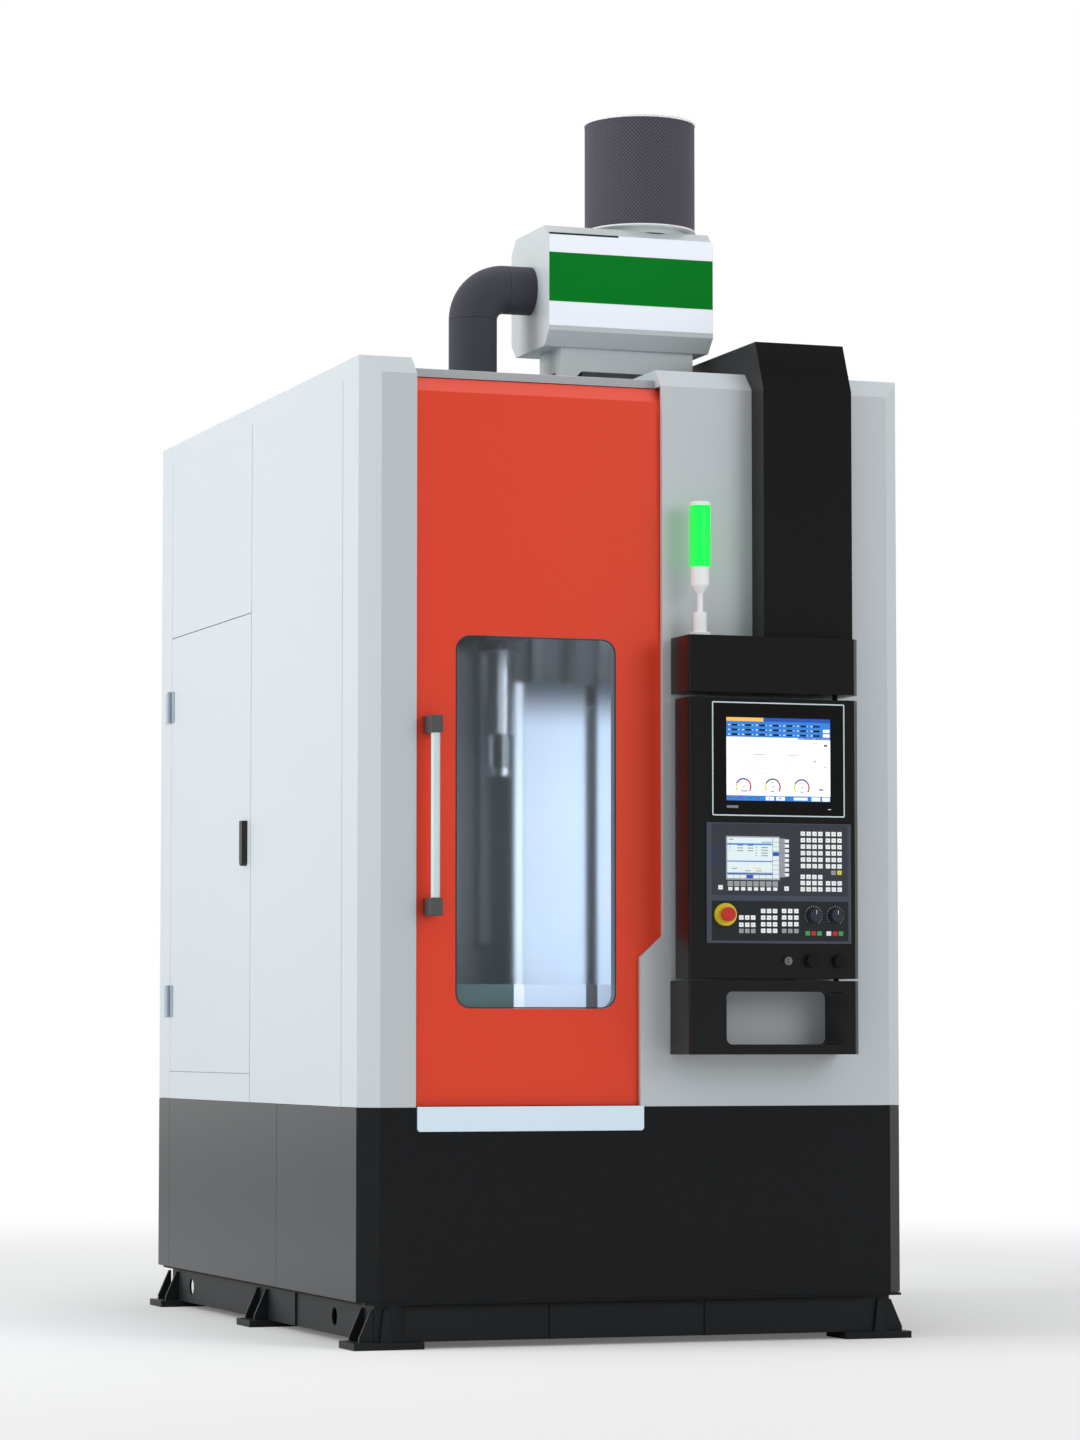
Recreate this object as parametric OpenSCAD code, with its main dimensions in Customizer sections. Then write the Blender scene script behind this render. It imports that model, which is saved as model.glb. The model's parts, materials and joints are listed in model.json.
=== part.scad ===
// Upright induction quenching machine with a sliding front door, a swivelling
// operator station and an oil-mist purifier on its roof. Millimetres, +Z up.
// The origin is on the floor, in the middle of the four corner anchor bolts.
// -Y is the operator's side.

/* [Enclosure] */
// Width over the side panels
body_w = 1800; // [1760:10:1900]
// Distance from the origin to the front face
front_reach = 1257; // [1245:1:1290]
// Distance from the origin to the rear face
rear_reach = 1204; // [1190:1:1260]
// Height of the roof edge above the floor
body_h = 3044; // [3030:1:3150]
// Width of the bevel along the front corners and the roof edge
corner_bevel = 57; // [40:1:60]
// Height of the black skirt's top edge
skirt_top = 732; // [715:1:733]
// Height of the skirt's lower edge
skirt_bottom = 143; // [140:1:160]
// Thickness of the enclosure's sheet metal
sheet = 2.5; // [1.5:0.5:3]
// Depth of the folded edges behind each panel
flange = 30; // [24:1:34]
// Open joint between neighbouring panels
seam = 0.8; // [0.5:0.1:0.9]
// Depth of the corner panels along the sides
corner_strip = 221; // [200:1:240]
// Distance from the front face to the skirt's side joint
skirt_joint = 942; // [900:1:980]
// Depth of the rear corner panels along the sides
rear_strip = 147.5; // [140:0.5:170]

/* [Base] */
// Height of the base rails' underside, which is also the thickness of the feet
foot_t = 22; // [16:1:25]
// Width of each base rail
rail_w = 100; // [80:5:120]
// Distance that the side rails stand in from the side panels
rail_inset = 50; // [44:1:56]
// Thickness of the deck plate on the rails
deck_t = 8; // [6:1:12]
// Wall of the base rails
rail_wall = 8; // [6:1:10]
// Length of each foot along the side rails
foot_l = 160; // [140:5:180]
// Reach of each foot outwards from the side rail
foot_reach = 69; // [62:1:74]
// Diameter of the anchor bolt holes
anchor_d = 22; // [18:1:26]
// Distance from each side rail's outer face out to its anchor bolts
anchor_out = 37; // [34:1:42]
// Distance from the base's front edge back to the front anchor bolts
anchor_front = 62; // [56:1:76]
// Distance from the base's rear edge forward to the rear anchor bolts
anchor_rear = 24; // [20:1:40]
// Diameter of the holes for a handling bar
handling_d = 57; // [50:1:60]

/* [Front door] */
// Distance from the left side to the left edge of the doorway
doorway_left = 172; // [165:1:185]
// Distance from the middle to the cover's left edge beside the upper door
cover_left = 77; // [60:1:90]
// Further width of the cover's lower part
cover_step = 75; // [60:1:78]
// Height at which the cover's step begins
step_low = 1194; // [1150:1:1220]
// Height at which the cover's step ends
step_high = 1261; // [1245:1:1290]
// Depth of the folded edge beside the doorway
edge_return = 18; // [14:1:18]
// Thickness of the sliding door
door_t = 50; // [48:1:52]
// Height of the door's lower edge
door_bottom = 737; // [735:1:738]
// Distance from the roof edge down to the door's top edge
door_drop = 60; // [59:1:69]
// Depth of the bevel along the door's top edge
door_bevel = 47; // [40:1:47]
// Distance from the doorway's left edge to the window's left edge
window_left = 132; // [128:1:148]
// Width of the window
window_w = 526; // [500:1:540]
// Height of the window's lower edge
window_bottom = 1034; // [1010:1:1060]
// Height of the window
window_h = 1150; // [1100:1:1180]
// Radius of the window's corners
window_r = 48; // [30:1:60]
// Height of the door handle over its end brackets
handle_h = 613; // [580:1:640]
// Height of the door handle's lower end
handle_bottom = 1316; // [1300:1:1340]
// Diameter of the handle's bar
handle_d = 28; // [24:1:30]
// Distance from the door's face to the middle of the handle's bar
handle_reach = 63; // [55:1:70]
// Height of the sill strip under the door
sill_h = 76; // [60:1:85]

/* [Side door] */
// Height of the side door's lower edge
side_door_bottom = 826; // [820:1:850]
// Height of the side door
side_door_h = 1528; // [1480:1:1540]
// Width of the side door
side_door_w = 1044; // [1000:1:1060]
// Height of each hinge
hinge_h = 110; // [90:1:120]
// Height of the lower hinge's lower end
low_hinge_z = 1018; // [1000:1:1040]
// Height of the upper hinge's lower end
high_hinge_z = 2055; // [2020:1:2080]
// Diameter of the hinge pins
hinge_pin_d = 8; // [6:1:9]
// Length of the latch handle
latch_l = 150; // [130:1:160]

/* [Operator station] */
// Distance from the middle of the machine to the station's left side
station_left = 101; // [96:1:110]
// Width of the station
station_w = 569; // [565:1:580]
// Distance of the station's front face from the front of the enclosure
station_reach = 172; // [165:1:180]
// Depth of the swivelling part
swivel_t = 125; // [120:1:130]
// Height of the swivelling part's lower edge
swivel_bottom = 1128; // [1126:1:1132]
// Height of the swivelling part
swivel_h = 869; // [865:1:872]
// Height of the fixed upper part's lower edge
visor_bottom = 2014; // [2010:1:2030]
// Height of the fixed upper part
visor_h = 176; // [160:1:185]
// Height of the fixed lower part's lower edge
tray_bottom = 893; // [880:1:900]
// Height of the fixed lower part
tray_h = 228; // [222:1:230]
// Width of the screen unit
screen_w = 443; // [430:1:450]
// Height of the screen unit
screen_h = 353; // [340:1:356]
// Width of the control panel
panel_w = 483; // [475:1:490]
// Height of the control panel
panel_h = 373; // [368:1:376]
// Width of the cable duct above the station
duct_w = 300; // [280:1:310]
// Rise of the cable duct's top above the roof edge
duct_rise = 93; // [56:1:106]

/* [Oil-mist purifier] */
// Width of the purifier's housing
purifier_w = 564; // [540:1:590]
// Depth of the purifier's housing
purifier_d = 370; // [350:1:390]
// Height of the purifier's housing
purifier_h = 390; // [370:1:410]
// Rise of the purifier's underside above the roof edge
purifier_rise = 116; // [106:1:146]
// Diameter of the filter on the housing
filter_d = 366; // [340:1:380]
// Height of the filter's mesh
filter_h = 350; // [320:1:380]
// Diameter of the suction elbow
elbow_d = 156; // [140:1:165]
// Bend radius of the suction elbow's middle line
elbow_r = 105; // [95:1:110]

/* [Hardening head] */
// Distance of the workpiece axis left of the middle of the machine
axis_left = 320; // [310:1:325]
// Distance of the workpiece axis behind the front face
axis_depth = 407; // [402:1:415]
// Width of the machine column
column_w = 750; // [740:1:760]
// Depth of the machine column
column_d = 420; // [400:1:430]
// Distance from the roof edge down to the machine column's top
column_drop = 324; // [304:1:344]
// Diameter of the ball screw
screw_d = 32; // [25:1:36]
// Inner diameter of the inductor ring
inductor_d = 160; // [150:1:170]

/* [Hidden] */
$fn = 48;

// Overrun of every cut past the face that it opens
over = 1;
// Radial clearance of a shaft that turns or slides in a bore
run = 0.05;
// Clearance between sliding faces
slip = 0.3;

// Faces of the enclosure
half_w = body_w / 2;
front_y = -front_reach;
bevel_y = front_y + corner_bevel;
inner_bevel = corner_bevel - sheet * (2 - sqrt(2));
corner_y = front_y + corner_strip;
rear_post_y = rear_reach - rear_strip;
side_door_y0 = rear_post_y - side_door_w;
skirt_y = front_y + skirt_joint;
lid_lap = 76;
lid_y = corner_y + lid_lap;
lid_x = half_w - flange - seam;
side_door_top = side_door_bottom + side_door_h;

// Base
rail_x = half_w - rail_inset;
deck_z = skirt_bottom - deck_t;
deck_edge = 15;
base_setback = 30;
base_front = front_y + base_setback;
base_rear = rear_reach - deck_edge;
mid_rail_y = 10;
anchor_x = rail_x + anchor_out;
front_anchor_y = base_front + anchor_front;
rear_anchor_y = base_rear - anchor_rear;
gusset_t = 12;
gusset_top = 122;
gusset_reach = 46;
gusset_edge = 14;
gusset_tip = 8;
gusset_gap = 104;
corner_foot_inner = 155;
front_gusset_x = 36;
front_gusset_t = 12;
front_gusset_foot = 19;
front_gusset_tip = 8;
clip_w = 12;
clip_t = 6;
handling_z = 78;
handling_y = [-807, 931];
clip_xs = [-287, 224];
clip_y = -385;

// Doorway and door
door_clear = 2;
door_face = front_y + edge_return + door_clear;
door_back = door_face + door_t;
door_lap_left = 17;
door_lap_right = 40;
doorway_x = -half_w + doorway_left;
door_left_x = doorway_x - door_lap_left;
door_right_x = cover_left + door_lap_right;
door_lip = 30;
header_clear = 3;
roof_drop = 31;
header_lip = 3;
header_setback = 37;
door_top = body_h - door_drop;
header_z = door_top + header_clear;
header_top = body_h - roof_drop;
header_front = door_back - header_lip;
header_beam_y = door_back + header_setback;
header_beam_t = 40;
header_beam_h = 130;
beam_z = header_top - header_beam_h;
roof_t = 3;
glass_t = 8;
glass_lap = 14;
handle_inset = 47;
handle_x = doorway_x + handle_inset;
bracket_w = 39;
bracket_h = 54;
bracket_lap = 17;
sill_inset = 3;
sill_lap = 9;
sill_x0 = doorway_x + sill_inset;
sill_x1 = cover_left - cover_step + sill_lap;
sill_t = 8;
sill_r = 10;
sill_rise = 3;
track_t = 8;
track_h = 40;
track_gap = 9;
track_y = door_back + track_gap;
track_foot = 8;
track_lap = 32;
track_end = 100;
track_x0 = doorway_x - track_lap;
track_x1 = half_w - track_end;
top_track_drop = 84;
low_track_rise = 3;
top_track_z = door_top - top_track_drop;
low_track_z = door_bottom + low_track_rise;
shoe_l = 80;
shoe_inset_left = 95;
shoe_inset_right = 97;
shoe_xs = [door_left_x + shoe_inset_left, door_right_x - shoe_inset_right];
shoe_side = 9;

// Side door and its hinges
latch_inset = 57;
latch_y = side_door_y0 + latch_inset;
latch_z = 1531;
latch_w = 34;
latch_t = 18;
latch_gap = 1;
latch_shaft_r = 8;
cam_l = 18;
cam_t = 6;
frame_t = 24;
frame_lap = 28;
hinge_r = 8;
leaf_t = 4;
leaf_w = 62;
hinge_out = 9;
hinge_x = -half_w - hinge_out;
hinge_y = rear_post_y + seam / 2;
knuckle_gap = 0.6;

// Cabinet behind the side door
cabinet_clear = 26;
cabinet_wall = 2;
cabinet_gap = 9;

// Vertical quench chamber
axis_x = -axis_left;
axis_y = front_y + axis_depth;
chamber_inset = 15;
chamber_x = doorway_x + chamber_inset;
chamber_right = 380;
wall_t = 2;
chamber_z = 770;
column_left = 100;
column_x = axis_x - column_left;
column_behind_axis = 370;
column_front = axis_y + column_behind_axis;
column_wall = 30;
top_plate_t = 20;
column_h = body_h - column_drop;
rail_h = 45;
rail_half = 17.5;
rail_z0 = 700;
tail_rail_z0 = 1250;
rail_end = 80;
screw_x = 35;
screw_gap = 35;
inductor_rail_spread = 115;
tail_rail_spread = 60;
screw_y = column_front - screw_gap;
inductor_rail_xs = [screw_x - inductor_rail_spread, screw_x + inductor_rail_spread];
tail_rail_xs = [axis_x - tail_rail_spread, axis_x + tail_rail_spread];
ledge_half = 80;
bearing_half = 40;
bearing_z = 660;
bearing_h = 40;
tank_inset = 28;
tank_x0 = doorway_x + tank_inset;
tank_x1 = 330;
tank_y0 = header_beam_y;
tank_behind_axis = 122;
tank_y1 = axis_y + tank_behind_axis;
tank_t = 4;
basin_z = 760;
basin_top = 1110;
basin_back_top = 1000;
drain_r = 60;
spindle_r = 35;
housing_r = 105;
housing_flange = 12;
motor_r = 85;
motor_h = 320;
housing_top = 850;
nose_h = 50;
centre_h = 100;
guard_t = 3;
guard_behind_axis = 130;
guard_y = axis_y + guard_behind_axis;
guard_x0 = -195;
guard_x1 = 330;
guard_side = 100;
guard_z0 = 780;
guard_top = 2085;
slot_x = 15;
slot_w = 40;
slot_z0 = 850;
slot_z1 = 2010;
bracket_zs = [900, 1960];
block_half = 35;
block_rise = 12;
carriage_y = column_front - rail_h - block_rise;
transformer_d = 130;
carriage_t = 25;

// Operator station
station_y = front_y - station_reach;
station_x = station_left;
station_x1 = station_left + station_w;
station_bevel = 17;
station_r = 16;
shell_t = 3;
face_proud = 5;
screen_inset = 73;
panel_inset = 54;
face_y = station_y - face_proud;
screen_x = station_x + screen_inset;
screen_z = 1630;
panel_x = station_x + panel_inset;
panel_z = 1236;
pivot_inset = 40;
pivot_depth = 99;
pivot_x = station_x1 - pivot_inset;
pivot_y = station_y + pivot_depth;
pivot_r = 9;

// Duct over the roof
duct_top = body_h + duct_rise;

// Signal tower
tower_x = 168;
tower_setback = 79;
tower_y = station_y + tower_setback;
tower_z = visor_bottom + visor_h;
tower_body_h = 219;
lens_z = tower_z + tower_body_h;
lens_h = 191;
lens_r = 33;

// Purifier
purifier_z = body_h + purifier_rise;
purifier_x = -173;
purifier_y = -900;
purifier_bevel = 45;
filter_x = 207;
filter_y = purifier_y + purifier_d / 2;
purifier_sheet = 3;
elbow_rise = 197;
elbow_reach = 90;
elbow_z = purifier_z + elbow_rise;
elbow_y = filter_y;
elbow_wall = 3;
elbow_leg_x = purifier_x - elbow_reach - elbow_r;

// Colours
light_grey = "#cfd6db";
front_grey = "#b2babd";
skirt_black = "#26282a";
red_paint = "#d4462e";
gloss_black = "#1b1c1e";
steel = "#b9c0c6";
dark_grey = "#4c5053";
slate = "#4c4b54";
alu = "#c9ced1";
tank_green = "#2f6b56";

function unit(v) = v / norm(v);
function left_of(v) = [-v[1], v[0]];
function mitre(p, i, t) = let (
    last = len(p) - 1,
    before = i > 0 ? unit(p[i] - p[i - 1]) : unit(p[1] - p[0]),
    after = i < last ? unit(p[i + 1] - p[i]) : before,
    a = left_of(before),
    b = left_of(after)
) p[i] + (a + b) * t / (1 + a * b);
// The outline of a sheet of thickness t bent along a path, on the path's left
function bent(p, t) = concat(p, [for (i = [len(p) - 1:-1:0]) mitre(p, i, t)]);

module block(low, high) {
    translate(low) cube(high - low);
}

// Raises an outline drawn in X and Y
module raise(z0, z1) {
    translate([0, 0, z0]) linear_extrude(z1 - z0) children();
}

// Carries an outline drawn in Y and Z along X
module along_x(x0, x1) {
    translate([x0, 0, 0]) rotate([90, 0, 90]) linear_extrude(x1 - x0) children();
}

// Carries an outline drawn in X and Z along Y
module along_y(y0, y1) {
    translate([0, y1, 0]) rotate([90, 0, 0]) linear_extrude(y1 - y0) children();
}

module rod(at, r, z0, z1) {
    translate([at[0], at[1], z0]) cylinder(r = r, h = z1 - z0);
}

// A round part that points to the operator, from y0 back to y1
module stud(x, z, r, y0, y1) {
    translate([x, y1, z]) rotate([90, 0, 0]) cylinder(r = r, h = y1 - y0);
}

// A plate in X and Z with round corners
module round_plate(x0, x1, z0, z1, r) {
    union() {
        translate([x0 + r, z0]) square([x1 - x0 - 2 * r, z1 - z0]);
        translate([x0, z0 + r]) square([x1 - x0, z1 - z0 - 2 * r]);
        for (x = [x0 + r, x1 - r], z = [z0 + r, z1 - r]) translate([x, z]) circle(r = r);
    }
}

// A panel on the left side: a sheet whose four edges are folded inwards
module side_pan(y0, y1, z0, z1, depth = flange) {
    difference() {
        block([-half_w, y0 + seam / 2, z0 + seam / 2], [-half_w + depth, y1 - seam / 2, z1 - seam / 2]);
        block(
            [-half_w + sheet, y0 + seam / 2 + sheet, z0 + seam / 2 + sheet],
            [-half_w + depth + over, y1 - seam / 2 - sheet, z1 - seam / 2 - sheet]
        );
    }
}

// A corner of the enclosure in plan, cut by the bevel along the roof edge
module bevelled_top(z0, z1, y0, bevel) {
    intersection() {
        raise(z0, z1) children();
        along_x(-body_w, body_w) polygon([
            [y0, z0], [y0, z1 - bevel], [y0 + bevel, z1], [rear_reach, z1], [rear_reach, z0]
        ]);
    }
}

module base_frame() {
    color(dark_grey) difference() {
        union() {
            for (side = [-1, 1]) side_rail(side);
            for (y = [base_front, mid_rail_y - rail_w / 2, base_rear - rail_w])
                block([-rail_x + rail_w - over, y, foot_t], [rail_x - rail_w + over, y + rail_w, deck_z + over]);
            block([-half_w + deck_edge, front_y + deck_edge, deck_z], [half_w - deck_edge, rear_reach - deck_edge, skirt_bottom]);
            for (x = clip_xs)
                block([x, base_front - clip_t, foot_t], [x + clip_w, base_front + over, deck_z + over]);
            for (side = [-1, 1])
                block(
                    [min(side * rail_x, side * (rail_x + clip_t)), clip_y, foot_t],
                    [max(side * rail_x, side * (rail_x + clip_t)), clip_y + clip_w, deck_z + over]
                );
        }
        for (side = [-1, 1], y = handling_y)
            translate([side * (rail_x - rail_w / 2), y, handling_z]) rotate([0, 90, 0])
                cylinder(d = handling_d, h = rail_w + 2 * over, center = true);
    }
}

// A hollow side rail, open at its rear end
module side_rail(side) {
    x = side * (rail_x - rail_w / 2);
    difference() {
        block([x - rail_w / 2, base_front, foot_t], [x + rail_w / 2, base_rear, deck_z + over]);
        block(
            [x - rail_w / 2 + rail_wall, base_front + rail_w, foot_t + rail_wall],
            [x + rail_w / 2 - rail_wall, base_rear + over, deck_z - rail_wall]
        );
    }
}

// One foot on the left side: a drilled plate and two sloping gussets
module foot(y, inner) {
    difference() {
        union() {
            block([-rail_x - foot_reach, y - foot_l / 2, 0], [-rail_x + inner, y + foot_l / 2, foot_t]);
            for (shift = [-gusset_gap / 2, gusset_gap / 2])
                along_y(y + shift - gusset_t / 2, y + shift + gusset_t / 2) polygon([
                    [-rail_x, foot_t - over], [-rail_x - gusset_reach, foot_t - over],
                    [-rail_x - gusset_reach, foot_t + gusset_edge],
                    [-rail_x - gusset_tip, gusset_top], [-rail_x, gusset_top]
                ]);
        }
        rod([-anchor_x, y], anchor_d / 2, -over, foot_t + over);
    }
}

module feet() {
    x = -rail_x + front_gusset_x;
    color(dark_grey) for (turn = [0, 1]) mirror([turn, 0, 0]) {
        union() {
            foot(front_anchor_y, corner_foot_inner);
            along_y(base_front - front_gusset_t, base_front) polygon([
                [x - front_gusset_foot, foot_t - over], [x + front_gusset_foot, foot_t - over],
                [x + front_gusset_tip, gusset_top], [x - front_gusset_tip, gusset_top]
            ]);
        }
        foot(mid_rail_y, rail_w);
        foot(rear_anchor_y, corner_foot_inner);
    }
}

module lower_apron() {
    path = [[-half_w, bevel_y], [-half_w + corner_bevel, front_y], [half_w - corner_bevel, front_y], [half_w, bevel_y]];
    color(skirt_black) difference() {
        union() {
            raise(skirt_bottom, skirt_top) polygon(bent(path, sheet));
            raise(skirt_bottom, skirt_bottom + sheet) polygon(path);
            raise(skirt_top - sheet, skirt_top) polygon(path);
        }
        block([-half_w - over, bevel_y - seam / 2, skirt_bottom - over], [half_w + over, bevel_y + corner_bevel, skirt_top + over]);
    }
}

module lower_side_panels() {
    color(skirt_black) {
        for (turn = [0, 1]) mirror([turn, 0, 0]) {
            side_pan(bevel_y, skirt_y, skirt_bottom, skirt_top);
            side_pan(skirt_y, rear_post_y, skirt_bottom, skirt_top);
            side_pan(rear_post_y, rear_reach, skirt_bottom, skirt_top);
        }
        rear_pan(-half_w + flange, half_w - flange, skirt_bottom, skirt_top);
    }
}

module rear_pan(x0, x1, z0, z1) {
    difference() {
        block([x0 + seam / 2, rear_reach - flange, z0 + seam / 2], [x1 - seam / 2, rear_reach, z1 - seam / 2]);
        block(
            [x0 + seam / 2 + sheet, rear_reach - flange - over, z0 + seam / 2 + sheet],
            [x1 - seam / 2 - sheet, rear_reach - sheet, z1 - seam / 2 - sheet]
        );
    }
}

module left_corner_post() {
    x1 = doorway_x;
    color(light_grey) difference() {
        bevelled_top(skirt_top + seam, body_h, front_y, corner_bevel) polygon([
            [-half_w, corner_y - seam / 2], [-half_w, bevel_y], [-half_w + corner_bevel, front_y],
            [x1, front_y], [x1, corner_y - seam / 2]
        ]);
        bevelled_top(skirt_top - over, body_h - sheet, front_y + sheet, inner_bevel) polygon([
            [-half_w + sheet, corner_y + over], [-half_w + sheet, front_y + sheet + inner_bevel],
            [-half_w + sheet + inner_bevel, front_y + sheet], [x1 - sheet, front_y + sheet],
            [x1 - sheet, corner_y + over]
        ]);
        block([x1 - sheet - over, front_y + edge_return, skirt_top], [x1 + over, corner_y + over, header_z]);
    }
}

module left_side_panels() {
    color(light_grey) {
        side_pan(corner_y, side_door_y0, skirt_top, body_h);
        side_pan(side_door_y0, rear_post_y, side_door_top, body_h);
    }
}

// The frame behind the side door, the strip below it and the fixed hinge halves
module side_door_frame() {
    y0 = side_door_y0 + seam;
    y1 = rear_post_y - seam;
    x0 = -half_w + flange;
    color(light_grey) union() {
        side_pan(side_door_y0, rear_post_y, skirt_top, side_door_bottom);
        difference() {
            block([x0, y0, skirt_top + seam], [x0 + frame_t, y1, side_door_top + frame_lap]);
            block(
                [x0 - over, y0 + frame_lap, side_door_bottom + frame_lap],
                [x0 + frame_t + over, y1 - frame_lap, side_door_top - frame_lap]
            );
        }
    }
    color(steel) for (z = [low_hinge_z, high_hinge_z]) fixed_hinge_half(z);
}

module fixed_hinge_half(z) {
    middle = z + hinge_h / 2;
    union() {
        block([-half_w - leaf_t, hinge_y + hinge_r, z], [-half_w, hinge_y + hinge_r + leaf_w, z + hinge_h]);
        block([-half_w - leaf_t, hinge_y, z], [-half_w - slip, hinge_y + hinge_r + over, middle - knuckle_gap / 2]);
        rod([hinge_x, hinge_y], hinge_r, z, middle - knuckle_gap / 2);
        rod([hinge_x, hinge_y], hinge_pin_d / 2, z, z + hinge_h - leaf_t);
    }
}

module right_side_panels() {
    color(light_grey) mirror([1, 0, 0]) {
        side_pan(corner_y, side_door_y0, skirt_top, body_h);
        side_pan(side_door_y0, rear_post_y, skirt_top, body_h);
    }
}

// Rear corner panels and two rear panels with rows of air slots
module rear_panels() {
    slot_l = 220;
    air_slot_h = 12;
    pitch = 40;
    rows = 9;
    slots_drop = 700;
    slots_z = body_h - slots_drop;
    color(light_grey) {
        for (turn = [0, 1]) mirror([turn, 0, 0]) side_pan(rear_post_y, rear_reach, skirt_top, body_h);
        for (turn = [0, 1]) mirror([turn, 0, 0]) difference() {
            rear_pan(-half_w + flange, 0, skirt_top, body_h);
            for (row = [0:rows - 1], x = [-half_w / 2 - slot_l - flange, -half_w / 2 + flange])
                block([x, rear_reach - sheet - over, slots_z + row * pitch], [x + slot_l, rear_reach + over, slots_z + row * pitch + air_slot_h]);
        }
    }
}

module roof_panel() {
    edge = half_w - flange - seam;
    rear = rear_reach - flange - seam;
    y0 = header_beam_y + header_beam_t;
    color(front_grey) difference() {
        raise(header_top - roof_t, header_top) polygon([
            [doorway_x, y0], [cover_left - seam, y0], [cover_left - seam, lid_y + seam],
            [edge, lid_y + seam],
            [edge, rear], [-edge, rear],
            [-edge, corner_y + seam], [doorway_x, corner_y + seam]
        ]);
        rod([elbow_leg_x, elbow_y], elbow_d / 2 - elbow_wall, header_top - roof_t - over, header_top + over);
    }
}

module front_header() {
    color(front_grey) along_x(doorway_x + seam, cover_left - seam) polygon([
        [header_front, header_z], [header_front, header_top],
        [header_beam_y + header_beam_t - seam, header_top], [header_beam_y + header_beam_t - seam, beam_z],
        [header_beam_y, beam_z], [header_beam_y, header_z]
    ]);
}

// The cover's outline in X and Z, drawn in by a margin
function cover_outline(m) = [
    [cover_left - cover_step + m, skirt_top], [cover_left - cover_step + m, step_low],
    [cover_left + m, step_high], [cover_left + m, body_h], [half_w - m, body_h], [half_w - m, skirt_top]
];

module right_cover() {
    x0 = cover_left - cover_step;
    color(front_grey) union() {
        difference() {
            intersection() {
                bevelled_top(skirt_top + seam, body_h, front_y, corner_bevel) polygon([
                    [x0, lid_y], [x0, front_y], [half_w - corner_bevel, front_y], [half_w, bevel_y],
                    [half_w, corner_y - seam / 2], [lid_x, corner_y - seam / 2], [lid_x, lid_y]
                ]);
                along_y(front_y - over, lid_y + over) polygon(cover_outline(0));
            }
            intersection() {
                bevelled_top(skirt_top - over, body_h - sheet, front_y + sheet, inner_bevel) polygon([
                    [x0, lid_y + over], [x0, front_y + sheet], [half_w - sheet - inner_bevel, front_y + sheet],
                    [half_w - sheet, front_y + sheet + inner_bevel], [half_w - sheet, corner_y + over],
                    [lid_x + over, corner_y + over], [lid_x + over, lid_y + over]
                ]);
                along_y(front_y - over, lid_y + 2 * over) polygon(cover_outline(sheet));
            }
            block([x0 - over, front_y + edge_return, skirt_top], [half_w - sheet - corner_bevel, lid_y + over, header_z]);
        }
        block([cover_left, lid_y - sheet, header_top + slip], [lid_x, lid_y, body_h - over]);
    }
}

module door_sill() {
    color("#cfe1f3") along_y(front_y - sill_t, front_y) union() {
        round_plate(sill_x0, sill_x1, skirt_top + sill_rise - sill_h, skirt_top + sill_rise, sill_r);
        translate([sill_x0, skirt_top + sill_rise - sill_h / 2]) square([sill_x1 - sill_x0, sill_h / 2]);
    }
}

// One track of the sliding door: an upright bar on a foot
module track(z) {
    along_x(track_x0, track_x1) polygon([
        [track_y, z], [track_y, z + track_h], [track_y + track_t, z + track_h],
        [track_y + track_t, z + track_foot], [header_beam_y, z + track_foot], [header_beam_y, z]
    ]);
}

module door_rails() {
    color(steel) for (z = [top_track_z, low_track_z]) track(z);
}

module chamber_walls() {
    z1 = beam_z - seam;
    y1 = column_front;
    color(dark_grey) {
        union() {
            block([chamber_x - wall_t, tank_y0, chamber_z], [chamber_x, y1, z1]);
            block([chamber_x - over, y1 - wall_t, chamber_z], [column_x - seam, y1, z1]);
        }
        union() {
            block([chamber_right, tank_y0, chamber_z], [chamber_right + wall_t, y1, z1]);
            block([column_x + column_w + seam, y1 - wall_t, chamber_z], [chamber_right + over, y1, z1]);
        }
    }
}

module quench_tank() {
    color(tank_green) difference() {
        block([tank_x0, tank_y0, skirt_bottom], [tank_x1, tank_y1, basin_top]);
        block([tank_x0 + tank_t, tank_y0 + tank_t, skirt_bottom - over], [tank_x1 - tank_t, tank_y1 - tank_t, basin_z - tank_t]);
        block([tank_x0 + tank_t, tank_y0 + tank_t, basin_z], [tank_x1 - tank_t, tank_y1 - tank_t, basin_top + over]);
        block([tank_x0 + tank_t, tank_y1 - 2 * tank_t, basin_back_top], [tank_x1 - tank_t, tank_y1 + over, basin_top + over]);
        rod([axis_x, axis_y], housing_r + slip, basin_z - 2 * tank_t, basin_z + over);
        rod([(axis_x + tank_x1) / 2, axis_y], drain_r, basin_z - 2 * tank_t, basin_z + over);
    }
}

module machine_column() {
    x1 = column_x + column_w;
    y1 = column_front + column_d;
    color(dark_grey) difference() {
        union() {
            block([column_x, column_front, skirt_bottom], [x1, y1, column_h]);
            block([screw_x - ledge_half, screw_y - ledge_half, column_h - top_plate_t], [screw_x + ledge_half, column_front + over, column_h]);
            block([screw_x - bearing_half, screw_y - bearing_half, bearing_z], [screw_x + bearing_half, column_front + over, bearing_z + bearing_h]);
        }
        block(
            [column_x + column_wall, column_front + column_wall, skirt_bottom + column_wall],
            [x1 - column_wall, y1 + over, column_h - column_wall]
        );
        rod([screw_x, screw_y], screw_d / 2 + run, bearing_z - over, column_h + over);
    }
}

// A bright cover in front of the column, with a slot for the inductor's arm
module column_guard() {
    path = [
        [guard_x0, guard_y + guard_side], [guard_x0, guard_y], [guard_x1, guard_y], [guard_x1, column_front]
    ];
    color(steel) union() {
        difference() {
            raise(guard_z0, guard_top) polygon(bent(path, guard_t));
            block([slot_x, guard_y - over, slot_z0], [slot_x + slot_w, guard_y + guard_t + over, slot_z1]);
        }
        for (z = bracket_zs)
            block([guard_x0, guard_y + guard_side - over, z], [guard_x0 + 4 * guard_t, column_front, z + slot_w]);
    }
}

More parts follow.
